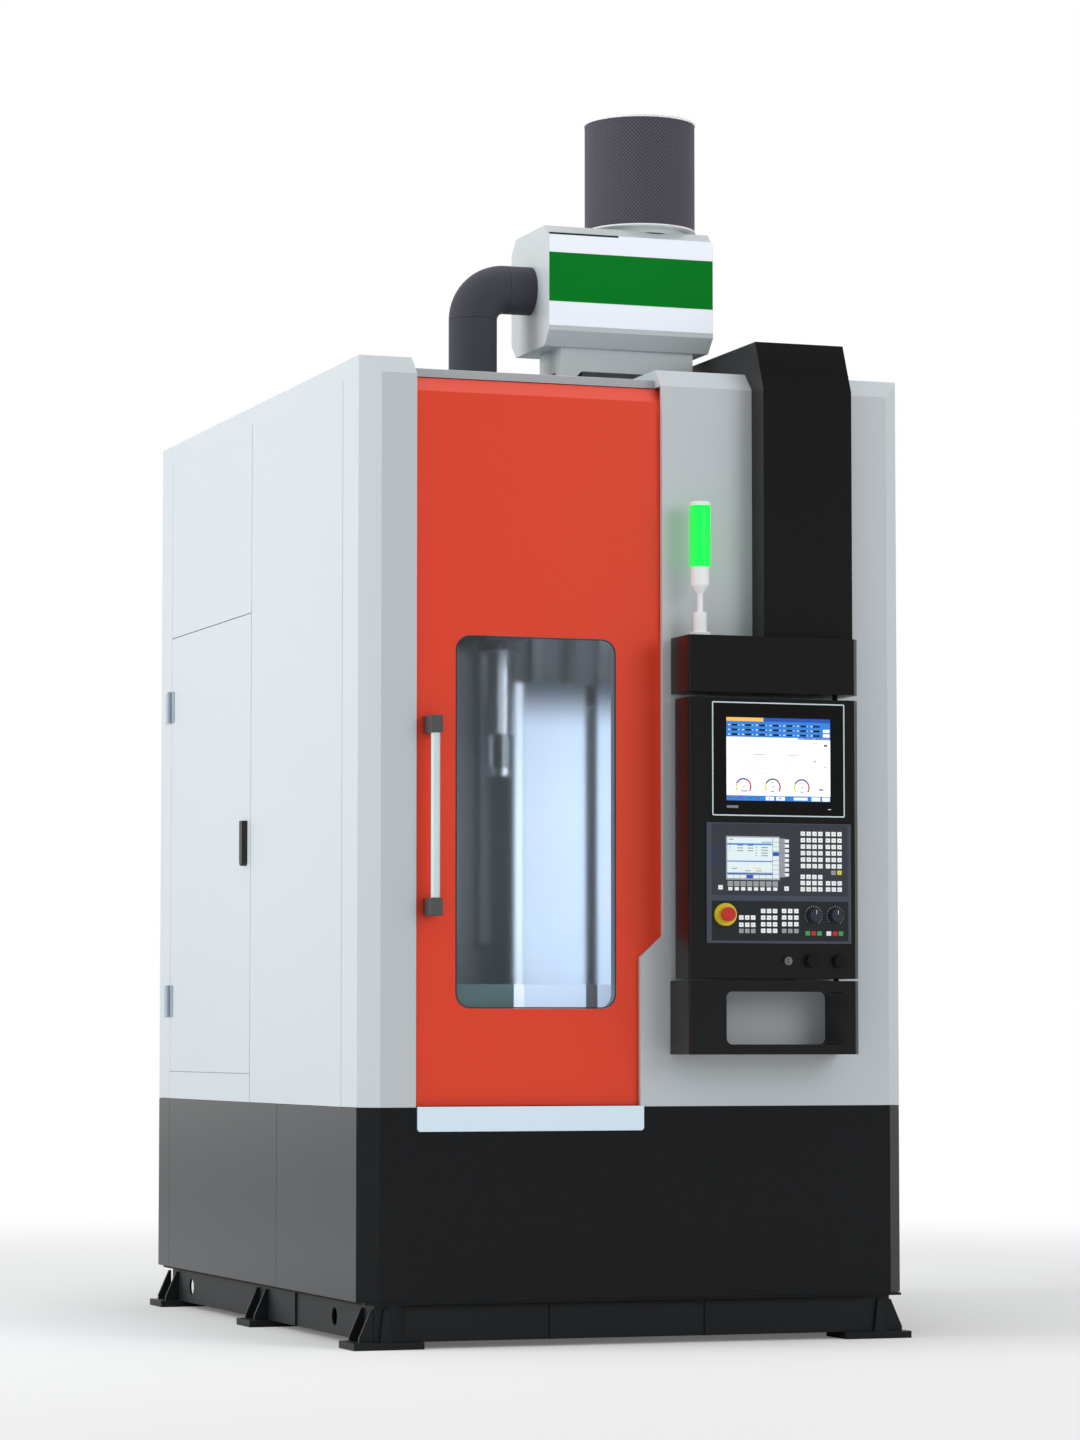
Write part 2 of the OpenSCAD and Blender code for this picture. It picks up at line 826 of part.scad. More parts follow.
module guide_rails() {
    color(steel) {
        for (x = inductor_rail_xs)
            block([x - rail_half, column_front - rail_h, rail_z0], [x + rail_half, column_front, column_h - rail_end]);
        for (x = tail_rail_xs)
            block([x - rail_half, column_front - rail_h, tail_rail_z0], [x + rail_half, column_front, column_h - rail_end]);
    }
}

module axis_motors() {
    flat = 130;
    height = 180;
    color(gloss_black) {
        rod([axis_x, axis_y], motor_r, skirt_bottom, skirt_bottom + motor_h);
        block([screw_x - flat / 2, screw_y - flat / 2, column_h], [screw_x + flat / 2, screw_y + flat / 2, column_h + height]);
    }
}

module spindle_housing() {
    bay_rise = 40;
    bay = motor_h + bay_rise;
    flange_h = 30;
    flange_r = housing_r + housing_flange;
    bay_clear = 5;
    color(dark_grey) difference() {
        union() {
            rod([axis_x, axis_y], housing_r, skirt_bottom, housing_top);
            rod([axis_x, axis_y], flange_r, housing_top - flange_h, housing_top);
        }
        rod([axis_x, axis_y], motor_r + bay_clear, skirt_bottom - over, skirt_bottom + bay);
        rod([axis_x, axis_y], spindle_r + run, skirt_bottom, housing_top + over);
    }
}

// A sheet box that is open to the side door, with its mounting plate and devices
module electrical_cabinet() {
    x0 = -half_w + flange + frame_t;
    x1 = column_x - cabinet_clear;
    y0 = side_door_y0 + cabinet_gap;
    y1 = rear_post_y - cabinet_gap;
    z0 = side_door_bottom + cabinet_gap;
    z1 = side_door_top - cabinet_gap;
    drive_d = 190;
    drive_w = 110;
    drive_h = 380;
    drive_gap = 25;
    drives = 5;
    breaker_d = 75;
    breaker_w = 54;
    breaker_h = 90;
    breaker_gap = 8;
    breakers = 13;
    duct_d = 60;
    duct_h = 60;
    drive_drop = 520;
    drive_z = z1 - drive_drop;
    row_shares = [0.46, 0.28, 0.1];
    rows_z = [for (share = row_shares) z0 + share * (z1 - z0)];
    edge = 60;
    color(alu) difference() {
        block([x0, y0, z0], [x1, y1, z1]);
        block([x0 - over, y0 + cabinet_wall, z0 + cabinet_wall], [x1 - cabinet_wall, y1 - cabinet_wall, z1 - cabinet_wall]);
    }
    color(dark_grey) for (i = [0:drives - 1])
        block(
            [x1 - cabinet_wall - drive_d, y0 + edge + i * (drive_w + drive_gap), drive_z],
            [x1 - cabinet_wall, y0 + edge + i * (drive_w + drive_gap) + drive_w, drive_z + drive_h]
        );
    color(front_grey) for (z = rows_z, i = [0:breakers - 1])
        block(
            [x1 - cabinet_wall - breaker_d, y0 + edge + i * (breaker_w + breaker_gap), z],
            [x1 - cabinet_wall, y0 + edge + i * (breaker_w + breaker_gap) + breaker_w, z + breaker_h]
        );
    color(light_grey) for (z = rows_z)
        block([x1 - cabinet_wall - duct_d, y0 + edge, z + 1.5 * breaker_h], [x1 - cabinet_wall, y1 - edge, z + 1.5 * breaker_h + duct_h]);
}

// A bent duct from the station up the front and over the roof
module duct_cover() {
    duct_inset = 279;
    duct_d = 100;
    slope_drop = 64;
    slope_reach = 33;
    x0 = station_x + duct_inset;
    front = front_y - duct_d;
    slope_z = body_h - slope_drop;
    slope_y = front_y - slope_reach;
    tail_y = 320;
    tail_l = 60;
    outline = [
        [front_y, tower_z + slip], [front, tower_z + slip], [front, slope_z], [slope_y, duct_top],
        [tail_y + tail_l, duct_top], [tail_y + tail_l, header_top], [tail_y, header_top],
        [tail_y, body_h + slip], [bevel_y, body_h + slip], [front_y, body_h - corner_bevel + slip]
    ];
    skin = [for (i = [5:-1:0]) outline[i]];
    color(gloss_black) union() {
        along_x(x0, x0 + duct_w) polygon(bent(skin, sheet));
        for (x = [x0, x0 + duct_w - sheet]) along_x(x, x + sheet) polygon(outline);
    }
}

// The station's outline in plan: bevelled on the right, rounded on the left
function station_plan(depth, m) = let (
    x0 = station_x + m,
    x1 = station_x1 - m,
    y0 = station_y + m,
    y1 = station_y + depth,
    r = station_r - m,
    b = station_bevel - m * (2 - sqrt(2)),
    turns = 6
) concat(
    [[x0, y1]],
    [for (i = [0:turns]) [x0 + r - r * cos(90 * i / turns), y0 + r - r * sin(90 * i / turns)]],
    [[x1 - b, y0], [x1, y0 + b], [x1, y1]]
);

module visor() {
    rear_gap = 13;
    depth = station_reach - rear_gap;
    arm_w = 200;
    color(gloss_black) union() {
        difference() {
            raise(visor_bottom, visor_bottom + visor_h) polygon(station_plan(depth, 0));
            raise(visor_bottom + shell_t, visor_bottom + visor_h - shell_t) polygon(station_plan(depth + over, shell_t));
        }
        block(
            [pivot_x - arm_w, station_y + depth / 2, visor_bottom + shell_t - over],
            [pivot_x, front_y, visor_bottom + visor_h - shell_t + over]
        );
        rod([pivot_x, pivot_y], pivot_r, visor_bottom - 2 * shell_t - pin_drop, visor_bottom + shell_t);
    }
}
pin_drop = 14;

module lower_box() {
    mouth_left = 121;
    mouth_w = 400;
    mouth_rise = 31;
    mouth_h = 164;
    x0 = station_x + mouth_left;
    x1 = x0 + mouth_w;
    z0 = tray_bottom + mouth_rise;
    z1 = z0 + mouth_h;
    r = 20;
    y1 = front_y - station_y;
    color(gloss_black) union() {
        difference() {
            raise(tray_bottom, tray_bottom + tray_h) polygon(station_plan(y1, 0));
            raise(tray_bottom + shell_t, tray_bottom + tray_h - shell_t) polygon(station_plan(y1 + over, shell_t));
            along_y(station_y - over, front_y) round_plate(x0, x1, z0, z1, r);
        }
        difference() {
            along_y(station_y, front_y) round_plate(x0 - shell_t, x1 + shell_t, z0 - shell_t, z1 + shell_t, r + shell_t);
            along_y(station_y - over, front_y + over) round_plate(x0, x1, z0, z1, r);
        }
        rod([pivot_x, pivot_y], pivot_r, tray_bottom + tray_h - shell_t, swivel_bottom + pin_drop);
    }
}

module signal_tower() {
    flange_h = 14;
    base_h = 77;
    base_r = 21;
    stem_r = 9;
    stem_h = 133;
    taper_h = 161;
    body_r = 29;
    cap_h = 12;
    color("white") {
        translate([tower_x, tower_y, tower_z]) rotate_extrude() polygon([
            [0, 0], [lens_r, 0], [lens_r, flange_h], [base_r, flange_h], [base_r, base_h], [stem_r, base_h],
            [stem_r, stem_h], [body_r, taper_h], [body_r, tower_body_h], [0, tower_body_h]
        ]);
        rod([tower_x, tower_y], lens_r, lens_z + lens_h, lens_z + lens_h + cap_h);
    }
}

module tower_lens() {
    color("#20ff5a") rod([tower_x, tower_y], lens_r, lens_z, lens_z + lens_h);
}

// Half the purifier's profile in Y and Z, drawn in by a margin
function purifier_profile(m) = let (
    y0 = purifier_y + m,
    y1 = purifier_y + purifier_d - m,
    z0 = purifier_z + m,
    z1 = purifier_z + purifier_h - m,
    b = purifier_bevel - m * (2 - sqrt(2))
) [
    [y0 + b, z0], [y1 - b, z0], [y1, z0 + b], [y1, z1 - b],
    [y1 - b, z1], [y0 + b, z1], [y0, z1 - b], [y0, z0 + b]
];

// The housing, its stand on four feet and the fan's motor inside
module purifier_housing() {
    stand_left = 63;
    stand_w = 453;
    stand_front = 60;
    stand_d = 210;
    stand_h = 75;
    stand_x0 = purifier_x + stand_left;
    stand_y0 = purifier_y + stand_front;
    stand_z = purifier_z - stand_h;
    foot_w = 70;
    foot_d = 60;
    x1 = purifier_x + purifier_w;
    color(light_grey) union() {
        difference() {
            along_x(purifier_x, x1) polygon(purifier_profile(0));
            along_x(purifier_x + purifier_sheet, x1 - purifier_sheet) polygon(purifier_profile(purifier_sheet));
            translate([purifier_x - over, elbow_y, elbow_z]) rotate([0, 90, 0])
                cylinder(d = elbow_d - 2 * elbow_wall, h = purifier_sheet + 2 * over);
            rod([filter_x, filter_y], neck_r - purifier_sheet, purifier_z + purifier_h - 2 * purifier_sheet, purifier_z + purifier_h + over);
        }
        difference() {
            rod([filter_x, filter_y], neck_r, purifier_z + purifier_h - purifier_sheet, purifier_z + purifier_h + neck_h);
            rod([filter_x, filter_y], neck_r - purifier_sheet, purifier_z + purifier_h - purifier_sheet - over, purifier_z + purifier_h + neck_h + over);
        }
    }
    color(front_grey) difference() {
        block([stand_x0, stand_y0, stand_z], [stand_x0 + stand_w, stand_y0 + stand_d, purifier_z]);
        block([stand_x0 + sheet, stand_y0 + sheet, stand_z - over], [stand_x0 + stand_w - sheet, stand_y0 + stand_d - sheet, purifier_z - sheet]);
    }
    color(gloss_black) for (x = [stand_x0, stand_x0 + stand_w - foot_w], y = [stand_y0, stand_y0 + stand_d - foot_d])
        block([x, y, header_top], [x + foot_w, y + foot_d, stand_z]);
    color(dark_grey) difference() {
        rod([filter_x, filter_y], fan_motor_r, purifier_z + purifier_sheet, fan_z - fan_gap);
        rod([filter_x, filter_y], fan_shaft_r + run, purifier_z + purifier_sheet + over, fan_z);
    }
}
neck_h = 16;
neck_r = 150;
fan_motor_r = 60;
fan_gap = 10;
fan_lift = 160;
fan_z = purifier_z + fan_lift;
fan_h = 70;
fan_r = 130;
fan_shaft_r = 12;

// A drum of filter mesh between two thin end discs
module mist_filter() {
    cap_t = 5;
    top_t = 8;
    mesh_in = 3;
    z0 = purifier_z + purifier_h + neck_h;
    mesh_wall = 30;
    color(slate) difference() {
        rod([filter_x, filter_y], filter_d / 2 - mesh_in, z0 + cap_t, z0 + cap_t + filter_h);
        rod([filter_x, filter_y], filter_d / 2 - mesh_wall, z0, z0 + cap_t + filter_h + over);
    }
    color("white") difference() {
        rod([filter_x, filter_y], filter_d / 2, z0, z0 + cap_t);
        rod([filter_x, filter_y], filter_d / 4, z0 - over, z0 + cap_t + over);
    }
    color("white") rod([filter_x, filter_y], filter_d / 2, z0 + cap_t + filter_h, z0 + cap_t + filter_h + top_t);
}

module elbow_duct() {
    r = elbow_d / 2;
    color(slate) {
        difference() {
            rod([elbow_leg_x, elbow_y], r, header_top, elbow_z - elbow_r - elbow_seam);
            rod([elbow_leg_x, elbow_y], r - elbow_wall, header_top - over, elbow_z - elbow_r);
        }
        difference() {
            elbow_bend(r);
            elbow_bend(r - elbow_wall);
        }
        translate([elbow_leg_x + elbow_r + elbow_seam, elbow_y, elbow_z]) rotate([0, 90, 0]) difference() {
            cylinder(r = r, h = purifier_x - elbow_leg_x - elbow_r - elbow_seam);
            translate([0, 0, -over]) cylinder(r = r - elbow_wall, h = purifier_x - elbow_leg_x - elbow_r + over);
        }
    }
}
elbow_seam = 0.3;

module elbow_bend(r) {
    translate([elbow_leg_x + elbow_r, elbow_y, elbow_z - elbow_r]) rotate([90, 0, 180])
        rotate_extrude(angle = 90) translate([elbow_r, 0]) circle(r = r);
}

// The sliding door: a folded sheet with a lip round its back and its window
module front_door_panel() {
    color(red_paint) difference() {
        along_x(door_left_x, door_right_x) polygon(door_profile(0));
        difference() {
            along_x(door_left_x + sheet, door_right_x - sheet) polygon(door_profile(sheet));
            along_y(door_face, door_back) round_plate(
                window_x0 - sheet, window_x1 + sheet, window_bottom - sheet, window_z1 + sheet, window_r + sheet
            );
        }
        along_y(door_face - over, door_back + over) round_plate(window_x0, window_x1, window_bottom, window_z1, window_r);
        for (z = [[door_bottom + 2 * door_lip, window_bottom - door_lip], [window_z1 + door_lip, door_top - 4 * door_lip]])
            block([door_left_x + 3 * door_lip, door_back - 2 * sheet, z[0]], [door_right_x - 3 * door_lip, door_back + over, z[1]]);
    }
}

// The door's outline in Y and Z, drawn in by a margin
function door_profile(m) = let (
    y0 = door_face + m,
    z1 = door_top - m,
    b = door_bevel - m * (2 - sqrt(2))
) [
    [y0, door_bottom + m], [y0, z1 - b], [y0 + b, z1], [door_back - m, z1], [door_back - m, door_bottom + m]
];
window_x0 = doorway_x + window_left;
window_x1 = window_x0 + window_w;
window_z1 = window_bottom + window_h;

module door_window() {
    y0 = door_face + sheet;
    color([0.75, 0.8, 0.85, 0.5]) along_y(y0, y0 + glass_t)
        round_plate(window_x0 + slip, window_x1 - slip, window_bottom + slip, window_z1 - slip, window_r - slip);
}

module door_handle() {
    bar_z0 = handle_bottom + bracket_lap;
    bar_z1 = handle_bottom + handle_h - bracket_lap;
    y0 = door_face - handle_reach - bracket_lap;
    color(alu) rod([handle_x, door_face - handle_reach], handle_d / 2, bar_z0, bar_z1);
    color(dark_grey) difference() {
        for (z = [handle_bottom, handle_bottom + handle_h - bracket_h])
            block([handle_x - bracket_w / 2, y0, z], [handle_x + bracket_w / 2, door_face, z + bracket_h]);
        rod([handle_x, door_face - handle_reach], handle_d / 2, bar_z0, bar_z1);
    }
}

// A shoe that straddles a track, hung on the door's back
module shoe(x, z) {
    y1 = track_y + track_t + slip + shoe_side;
    z0 = z + track_foot + over;
    z1 = z + track_h + slip + shoe_side;
    difference() {
        block([x, door_back, z0], [x + shoe_l, y1, z1]);
        block([x - over, track_y - slip, z0 - over], [x + shoe_l + over, track_y + track_t + slip, z + track_h + slip]);
    }
}

module door_hangers() {
    color(steel) for (x = shoe_xs, z = [top_track_z, low_track_z]) shoe(x, z);
}

module side_door() {
    color(light_grey) difference() {
        side_pan(side_door_y0 + seam, rear_post_y - seam, side_door_bottom + seam, side_door_top - seam, flange - seam);
        translate([-half_w - over, latch_y, latch_z]) rotate([0, 90, 0]) cylinder(r = latch_shaft_r + run, h = flange);
    }
}

module side_door_hinges() {
    color(steel) for (z = [low_hinge_z, high_hinge_z]) {
        middle = z + hinge_h / 2;
        difference() {
            union() {
                block([-half_w - leaf_t, hinge_y - hinge_r - leaf_w / 2, z], [-half_w, hinge_y - hinge_r, z + hinge_h]);
                block([-half_w - leaf_t, hinge_y - hinge_r - over, middle + knuckle_gap / 2], [-half_w - slip, hinge_y, z + hinge_h]);
                rod([hinge_x, hinge_y], hinge_r, middle + knuckle_gap / 2, z + hinge_h);
            }
            rod([hinge_x, hinge_y], hinge_pin_d / 2 + run, z - over, z + hinge_h - leaf_t + slip);
        }
    }
}

// The latch: a lever outside, its shaft through the door and a cam inside
module latch_handle() {
    x0 = -half_w - latch_gap;
    lever_r = latch_w / 2;
    color(gloss_black) union() {
        translate([x0 - latch_t, latch_y, latch_z]) rotate([0, 90, 0]) cylinder(r = lever_r, h = latch_t);
        block([x0 - latch_t, latch_y - lever_r, latch_z], [x0, latch_y + lever_r, latch_z + latch_l - lever_r]);
        translate([x0 - over, latch_y, latch_z]) rotate([0, 90, 0]) cylinder(r = latch_shaft_r, h = flange + latch_gap + over);
        block(
            [-half_w + flange - over, latch_y - latch_shaft_r, latch_z - latch_shaft_r],
            [-half_w + flange - over + cam_t, latch_y + cam_l, latch_z + latch_shaft_r]
        );
    }
}

module station_body() {
    behind = 15;
    pivot_clear = 0.3;
    color(gloss_black) difference() {
        raise(swivel_bottom, swivel_bottom + swivel_h) polygon(station_plan(swivel_t, 0));
        difference() {
            raise(swivel_bottom + shell_t, swivel_bottom + swivel_h - shell_t)
                polygon(station_plan(swivel_t - shell_t, shell_t));
            rod([pivot_x, pivot_y], 2 * pivot_r, swivel_bottom, swivel_bottom + pin_drop + shell_t);
            rod([pivot_x, pivot_y], 2 * pivot_r, swivel_bottom + swivel_h - pin_drop - shell_t, swivel_bottom + swivel_h);
        }
        along_y(station_y - over, station_y + shell_t + over) translate([screen_x + behind, screen_z + behind])
            square([screen_w - 2 * behind, screen_h - 2 * behind]);
        along_y(station_y - over, station_y + shell_t + over) translate([panel_x + behind, panel_z + behind])
            square([panel_w - 2 * behind, panel_h - 2 * behind]);
        rod([pivot_x, pivot_y], pivot_r + run, swivel_bottom - over, swivel_bottom + pin_drop + pivot_clear);
        rod([pivot_x, pivot_y], pivot_r + run, swivel_bottom + swivel_h - pin_drop - pivot_clear, swivel_bottom + swivel_h + over);
        for (x = [key_switch_x, cap_xs[0], cap_xs[1]]) stud(x, port_z, port_shaft_r + run, station_y - over, station_y + shell_t + over);
    }
}
key_switch_share = 0.566;
cap_shares = [0.7065, 0.87];
port_rise = 54;
key_switch_x = station_x + key_switch_share * station_w;
cap_xs = [for (share = cap_shares) station_x + share * station_w];
port_z = swivel_bottom + port_rise;
port_shaft_r = 8;

module display_unit() {
    glass_in = 46;
    glass_side = 46;
    rear_t = 40;
    behind = 15;
    depth_in = 1;
    color("#202327") difference() {
        union() {
            block([screen_x, face_y, screen_z], [screen_x + screen_w, station_y, screen_z + screen_h]);
            block(
                [screen_x + behind + slip, station_y - over, screen_z + behind + slip],
                [screen_x + screen_w - behind - slip, station_y + rear_t, screen_z + screen_h - behind - slip]
            );
        }
        block([screen_x + glass_side, face_y - over, screen_z + glass_in], [screen_x + screen_w - glass_side, face_y + depth_in, screen_z + screen_h - glass_in]);
    }
}

// Places on the control panel, from its lower left corner
estop_share = 0.122;
knob_shares = [0.737, 0.888];
dial_share = 0.236;
key_share = 0.086;
key_x_shares = [0.694, 0.735, 0.776, 0.841, 0.884, 0.925];
estop_x = panel_x + estop_share * panel_w;
knob_xs = [for (share = knob_shares) panel_x + share * panel_w];
dial_z = panel_z + dial_share * panel_h;
key_z = panel_z + key_share * panel_h;
key_w = 16;
key_h = 14;
key_xs = [for (share = key_x_shares) panel_x + share * panel_w];
estop_stem_r = 8;
knob_shaft_r = 3;
collar_h = 14;
key_proud = 2.5;
key_deep = 8;

// The control panel: a faceplate with a box behind it and the collar of the stop button
module cnc_panel() {
    rear_t = 60;
    behind = 15;
    collar_r = 35;
    back_t = 5;
    color("#3e4454") difference() {
        union() {
            block([panel_x, face_y, panel_z], [panel_x + panel_w, station_y, panel_z + panel_h]);
            block(
                [panel_x + behind + slip, station_y - over, panel_z + behind + slip],
                [panel_x + panel_w - behind - slip, station_y + rear_t, panel_z + panel_h - behind - slip]
            );
            stud(estop_x, dial_z, collar_r, face_y - collar_h, face_y + over);
        }
        block(
            [panel_x + behind + back_t, station_y, panel_z + behind - back_t],
            [panel_x + panel_w - behind - back_t, station_y + rear_t - back_t, panel_z + panel_h / 2]
        );
        stud(estop_x, dial_z, estop_stem_r + run, face_y - collar_h - over, station_y + over);
        for (x = knob_xs) stud(x, dial_z, knob_shaft_r + run, face_y - over, station_y + over);
        for (x = key_xs) block(
            [x - key_w / 2 - slip, face_y - over, key_z - key_h / 2 - slip],
            [x + key_w / 2 + slip, station_y + over, key_z + key_h / 2 + slip]
        );
    }
}

// Film keys: each field's left and lower share of the panel, columns, rows and pitch as multiples of the usual one
key_field_shares = [
    [0.646, 0.627, 4, 6, 1, 1], [0.822, 0.63, 3, 6, 1, 1], [0.646, 0.434, 4, 3, 1, 1], [0.822, 0.437, 3, 2, 1, 1],
    [0.143, 0.437, 8, 1, 1.1, 1], [0.501, 0.552, 1, 8, 1, 0.72], [0.22, 0.086, 3, 3, 1.05, 1.25],
    [0.371, 0.086, 3, 4, 1.05, 1.25], [0.518, 0.086, 3, 4, 1.05, 1.25]
];

module panel_keys() {
    pitch_x = 19;
    pitch_z = 20;
    w = 15;
    h = 11;
    thick = 1;
    color("#e4e6e8") for (field = key_field_shares, i = [0:field[2] - 1], j = [0:field[3] - 1]) {
        x = panel_x + field[0] * panel_w + i * field[4] * pitch_x;
        z = panel_z + field[1] * panel_h + j * field[5] * pitch_z;
        block([x, face_y - thick, z], [x + w, face_y, z + h]);
    }
}

module estop_button() {
    head_r = 22;
    head_h = 18;
    stand_off = 8;
    head_y = face_y - collar_h - stand_off;
    color("#d8432f") union() {
        stud(estop_x, dial_z, head_r, head_y - head_h, head_y);
        stud(estop_x, dial_z, estop_stem_r, head_y - over, station_y - slip);
    }
}

module override_knob(x) {
    knob_r = 20;
    knob_h = 22;
    lift = 1;
    color("#25272b") union() {
        stud(x, dial_z, knob_r, face_y - lift - knob_h, face_y - lift);
        stud(x, dial_z, knob_shaft_r, face_y - lift - over, station_y - slip);
        block([x - lift, face_y - lift - knob_h - lift, dial_z], [x + lift, face_y - lift - knob_h + over, dial_z + knob_r - lift]);
    }
}

module left_override_knob() {
    override_knob(knob_xs[0]);
}

module right_override_knob() {
    override_knob(knob_xs[1]);
}

module key_switch() {
    head_r = 13;
    head_h = 12;
    lift = 1;
    grip = 4;
    color(steel) union() {
        stud(key_switch_x, port_z, head_r, station_y - lift - head_h, station_y - lift);
        stud(key_switch_x, port_z, port_shaft_r, station_y - lift - over, station_y + 2 * shell_t);
        block(
            [key_switch_x - grip / 2, station_y - lift - 2 * head_h, port_z - head_r + grip],
            [key_switch_x + grip / 2, station_y - lift - head_h + over, port_z + head_r - grip]
        );
    }
}

// A round cap with gripping ribs over a service socket
module port_cap(x) {
    cap_r = 18;
    cap_h = 20;
    lift = 1;
    ribs = 12;
    rib_r = 2;
    color(gloss_black) union() {
        stud(x, port_z, cap_r, station_y - lift - cap_h, station_y - lift);
        stud(x, port_z, port_shaft_r, station_y - lift - over, station_y + 2 * shell_t);
        for (i = [0:ribs - 1])
            stud(x + cap_r * cos(360 * i / ribs), port_z + cap_r * sin(360 * i / ribs), rib_r, station_y - lift - cap_h + over, station_y - lift - over);
    }
}

module left_port_cap() {
    port_cap(cap_xs[0]);
}

module right_port_cap() {
    port_cap(cap_xs[1]);
}

module push_key(i, tint) {
    color(tint) block(
        [key_xs[i] - key_w / 2, face_y - key_proud, key_z - key_h / 2],
        [key_xs[i] + key_w / 2, face_y - key_proud + key_deep, key_z + key_h / 2]
    );
}

module cycle_start_key() {
    push_key(0, "#3fae5a");
}

module cycle_stop_key() {
    push_key(1, "#d8432f");
}

module coolant_key() {
    push_key(2, "#3fae5a");
}

module reset_key() {
    push_key(3, "#f2f3f4");
}

module feed_stop_key() {
    push_key(4, "#d8432f");
}

module feed_start_key() {
    push_key(5, "#3fae5a");
}

// A plate with grooved blocks on two guide rails, the screw's nut and the transformer
module inductor_carriage() {
    z0 = 820;
    h = 280;
    transformer_half = 100;
    transformer_lift = 30;
    nut_half = 28;
    back = column_front - slip - 1;
    color(alu) difference() {
        union() {
            block([inductor_rail_xs[0] - block_half, carriage_y - carriage_t, z0], [inductor_rail_xs[1] + block_half, carriage_y, z0 + h]);
            for (x = inductor_rail_xs)
                block([x - block_half, carriage_y - over, z0], [x + block_half, column_front - rail_h / 2, z0 + h]);
            block([screw_x - nut_half, carriage_y - over, z0 + h / 3], [screw_x + nut_half, back, z0 + 2 * h / 3]);
            block([screw_x - transformer_half, carriage_y - carriage_t - transformer_d, z0 + transformer_lift], [screw_x + transformer_half, carriage_y - carriage_t + over, z0 + h]);
        }
        for (x = inductor_rail_xs)
            block([x - rail_half - slip, column_front - rail_h - slip, z0 - over], [x + rail_half + slip, column_front + over, z0 + h + over]);
        rod([screw_x, screw_y], screw_d / 2 + run, z0 - over, z0 + h + over);
    }
}

// The bus bars through the guard's slot and the ring that surrounds the workpiece
module inductor_coil() {
    z0 = 1040;
    bar_h = 40;
    ring_t = 20;
    bar_gap = 5;
    bar_x0 = slot_x + bar_gap;
    bar_x1 = slot_x + slot_w - bar_gap;
    back = carriage_y - carriage_t - transformer_d;
    ring_r = inductor_d / 2;
    turn_y = axis_y + ring_r;
    color("#b87333") difference() {
        union() {
            block([bar_x0, turn_y, z0], [bar_x1, back, z0 + bar_h]);
            block([axis_x, turn_y, z0], [bar_x1, turn_y + ring_t, z0 + bar_h]);
            rod([axis_x, axis_y], ring_r + ring_t, z0, z0 + bar_h);
        }
        rod([axis_x, axis_y], ring_r, z0 - over, z0 + bar_h + over);
    }
}

module tailstock_carriage() {
    z0 = tailstock_z;
    h = 280;
    arm_h = 220;
    arm_half = 70;
    sleeve_r = 65;
    color(dark_grey) difference() {
        union() {
            block([tail_rail_xs[0] - block_half, carriage_y - carriage_t, z0], [tail_rail_xs[1] + block_half, carriage_y, z0 + h]);
            for (x = tail_rail_xs)
                block([x - block_half, carriage_y - over, z0], [x + block_half, column_front - rail_h / 2, z0 + h]);
            block([axis_x - arm_half, axis_y - arm_half, z0], [axis_x + arm_half, carriage_y - carriage_t + over, z0 + arm_h]);
            rod([axis_x, axis_y], sleeve_r, z0 - sleeve_h, z0 + over);
        }
        for (x = tail_rail_xs)
            block([x - rail_half - slip, column_front - rail_h - slip, z0 - over], [x + rail_half + slip, column_front + over, z0 + h + over]);
        rod([axis_x, axis_y], quill_shaft_r + run, z0 - sleeve_h - over, z0 + arm_h + over);
    }
}
quill_shaft_r = 30;
tailstock_drop = 520;
tailstock_z = column_h - tailstock_drop;
sleeve_h = 28;

// The turning quill with three rods and claws that hold the workpiece's upper end
module top_centre() {
    z0 = tailstock_z - sleeve_h;
    disc_r = 52;
    disc_h = 14;
    body_r = 42;
    quill_h = 266;
    rod_r = 8;
    rod_h = 120;
    rod_at = 32;
    claw_h = 26;
    claw_l = 30;
    shaft_h = 240;
    color(steel) union() {
        rod([axis_x, axis_y], quill_shaft_r, z0 - over, z0 + shaft_h);
        rod([axis_x, axis_y], disc_r, z0 - slip - disc_h, z0 - slip);
        rod([axis_x, axis_y], body_r, z0 - quill_h, z0 - disc_h);
        for (i = [0:2]) translate([axis_x, axis_y, 0]) rotate([0, 0, 120 * i + 30]) {
            rod([rod_at, 0], rod_r, z0 - quill_h - rod_h, z0 - quill_h + over);
            block([rod_at - claw_l / 2, -rod_r, z0 - quill_h - rod_h - claw_h / 2], [rod_at + claw_l / 2, rod_r, z0 - quill_h - rod_h + claw_h / 2]);
        }
    }
}

module ball_screw() {
    color(steel) rod([screw_x, screw_y], screw_d / 2, bearing_z + slip, column_h - slip);
}

module work_spindle() {
    nose_r = 60;
    cone_r = 25;
    tip_r = 2;
    lift = 0.3;
    color(steel) union() {
        rod([axis_x, axis_y], spindle_r, skirt_bottom + motor_h + lift, housing_top + over);
        rod([axis_x, axis_y], nose_r, housing_top + lift, housing_top + nose_h);
        translate([axis_x, axis_y, housing_top + nose_h - over]) cylinder(r1 = cone_r, r2 = tip_r, h = centre_h);
    }
}

module fan_rotor() {
    blades = 10;
    blade_t = 4;
    disc_t = 6;
    hub_r = 25;
    shaft_l = 60;
    color(alu) union() {
        rod([filter_x, filter_y], fan_shaft_r, fan_z - shaft_l, fan_z + over);
        rod([filter_x, filter_y], fan_r, fan_z, fan_z + disc_t);
        rod([filter_x, filter_y], hub_r, fan_z, fan_z + fan_h);
        for (i = [0:blades - 1]) translate([filter_x, filter_y, 0]) rotate([0, 0, 360 * i / blades])
            block([hub_r - over, -blade_t / 2, fan_z + disc_t - over], [fan_r - over, blade_t / 2, fan_z + fan_h]);
    }
}

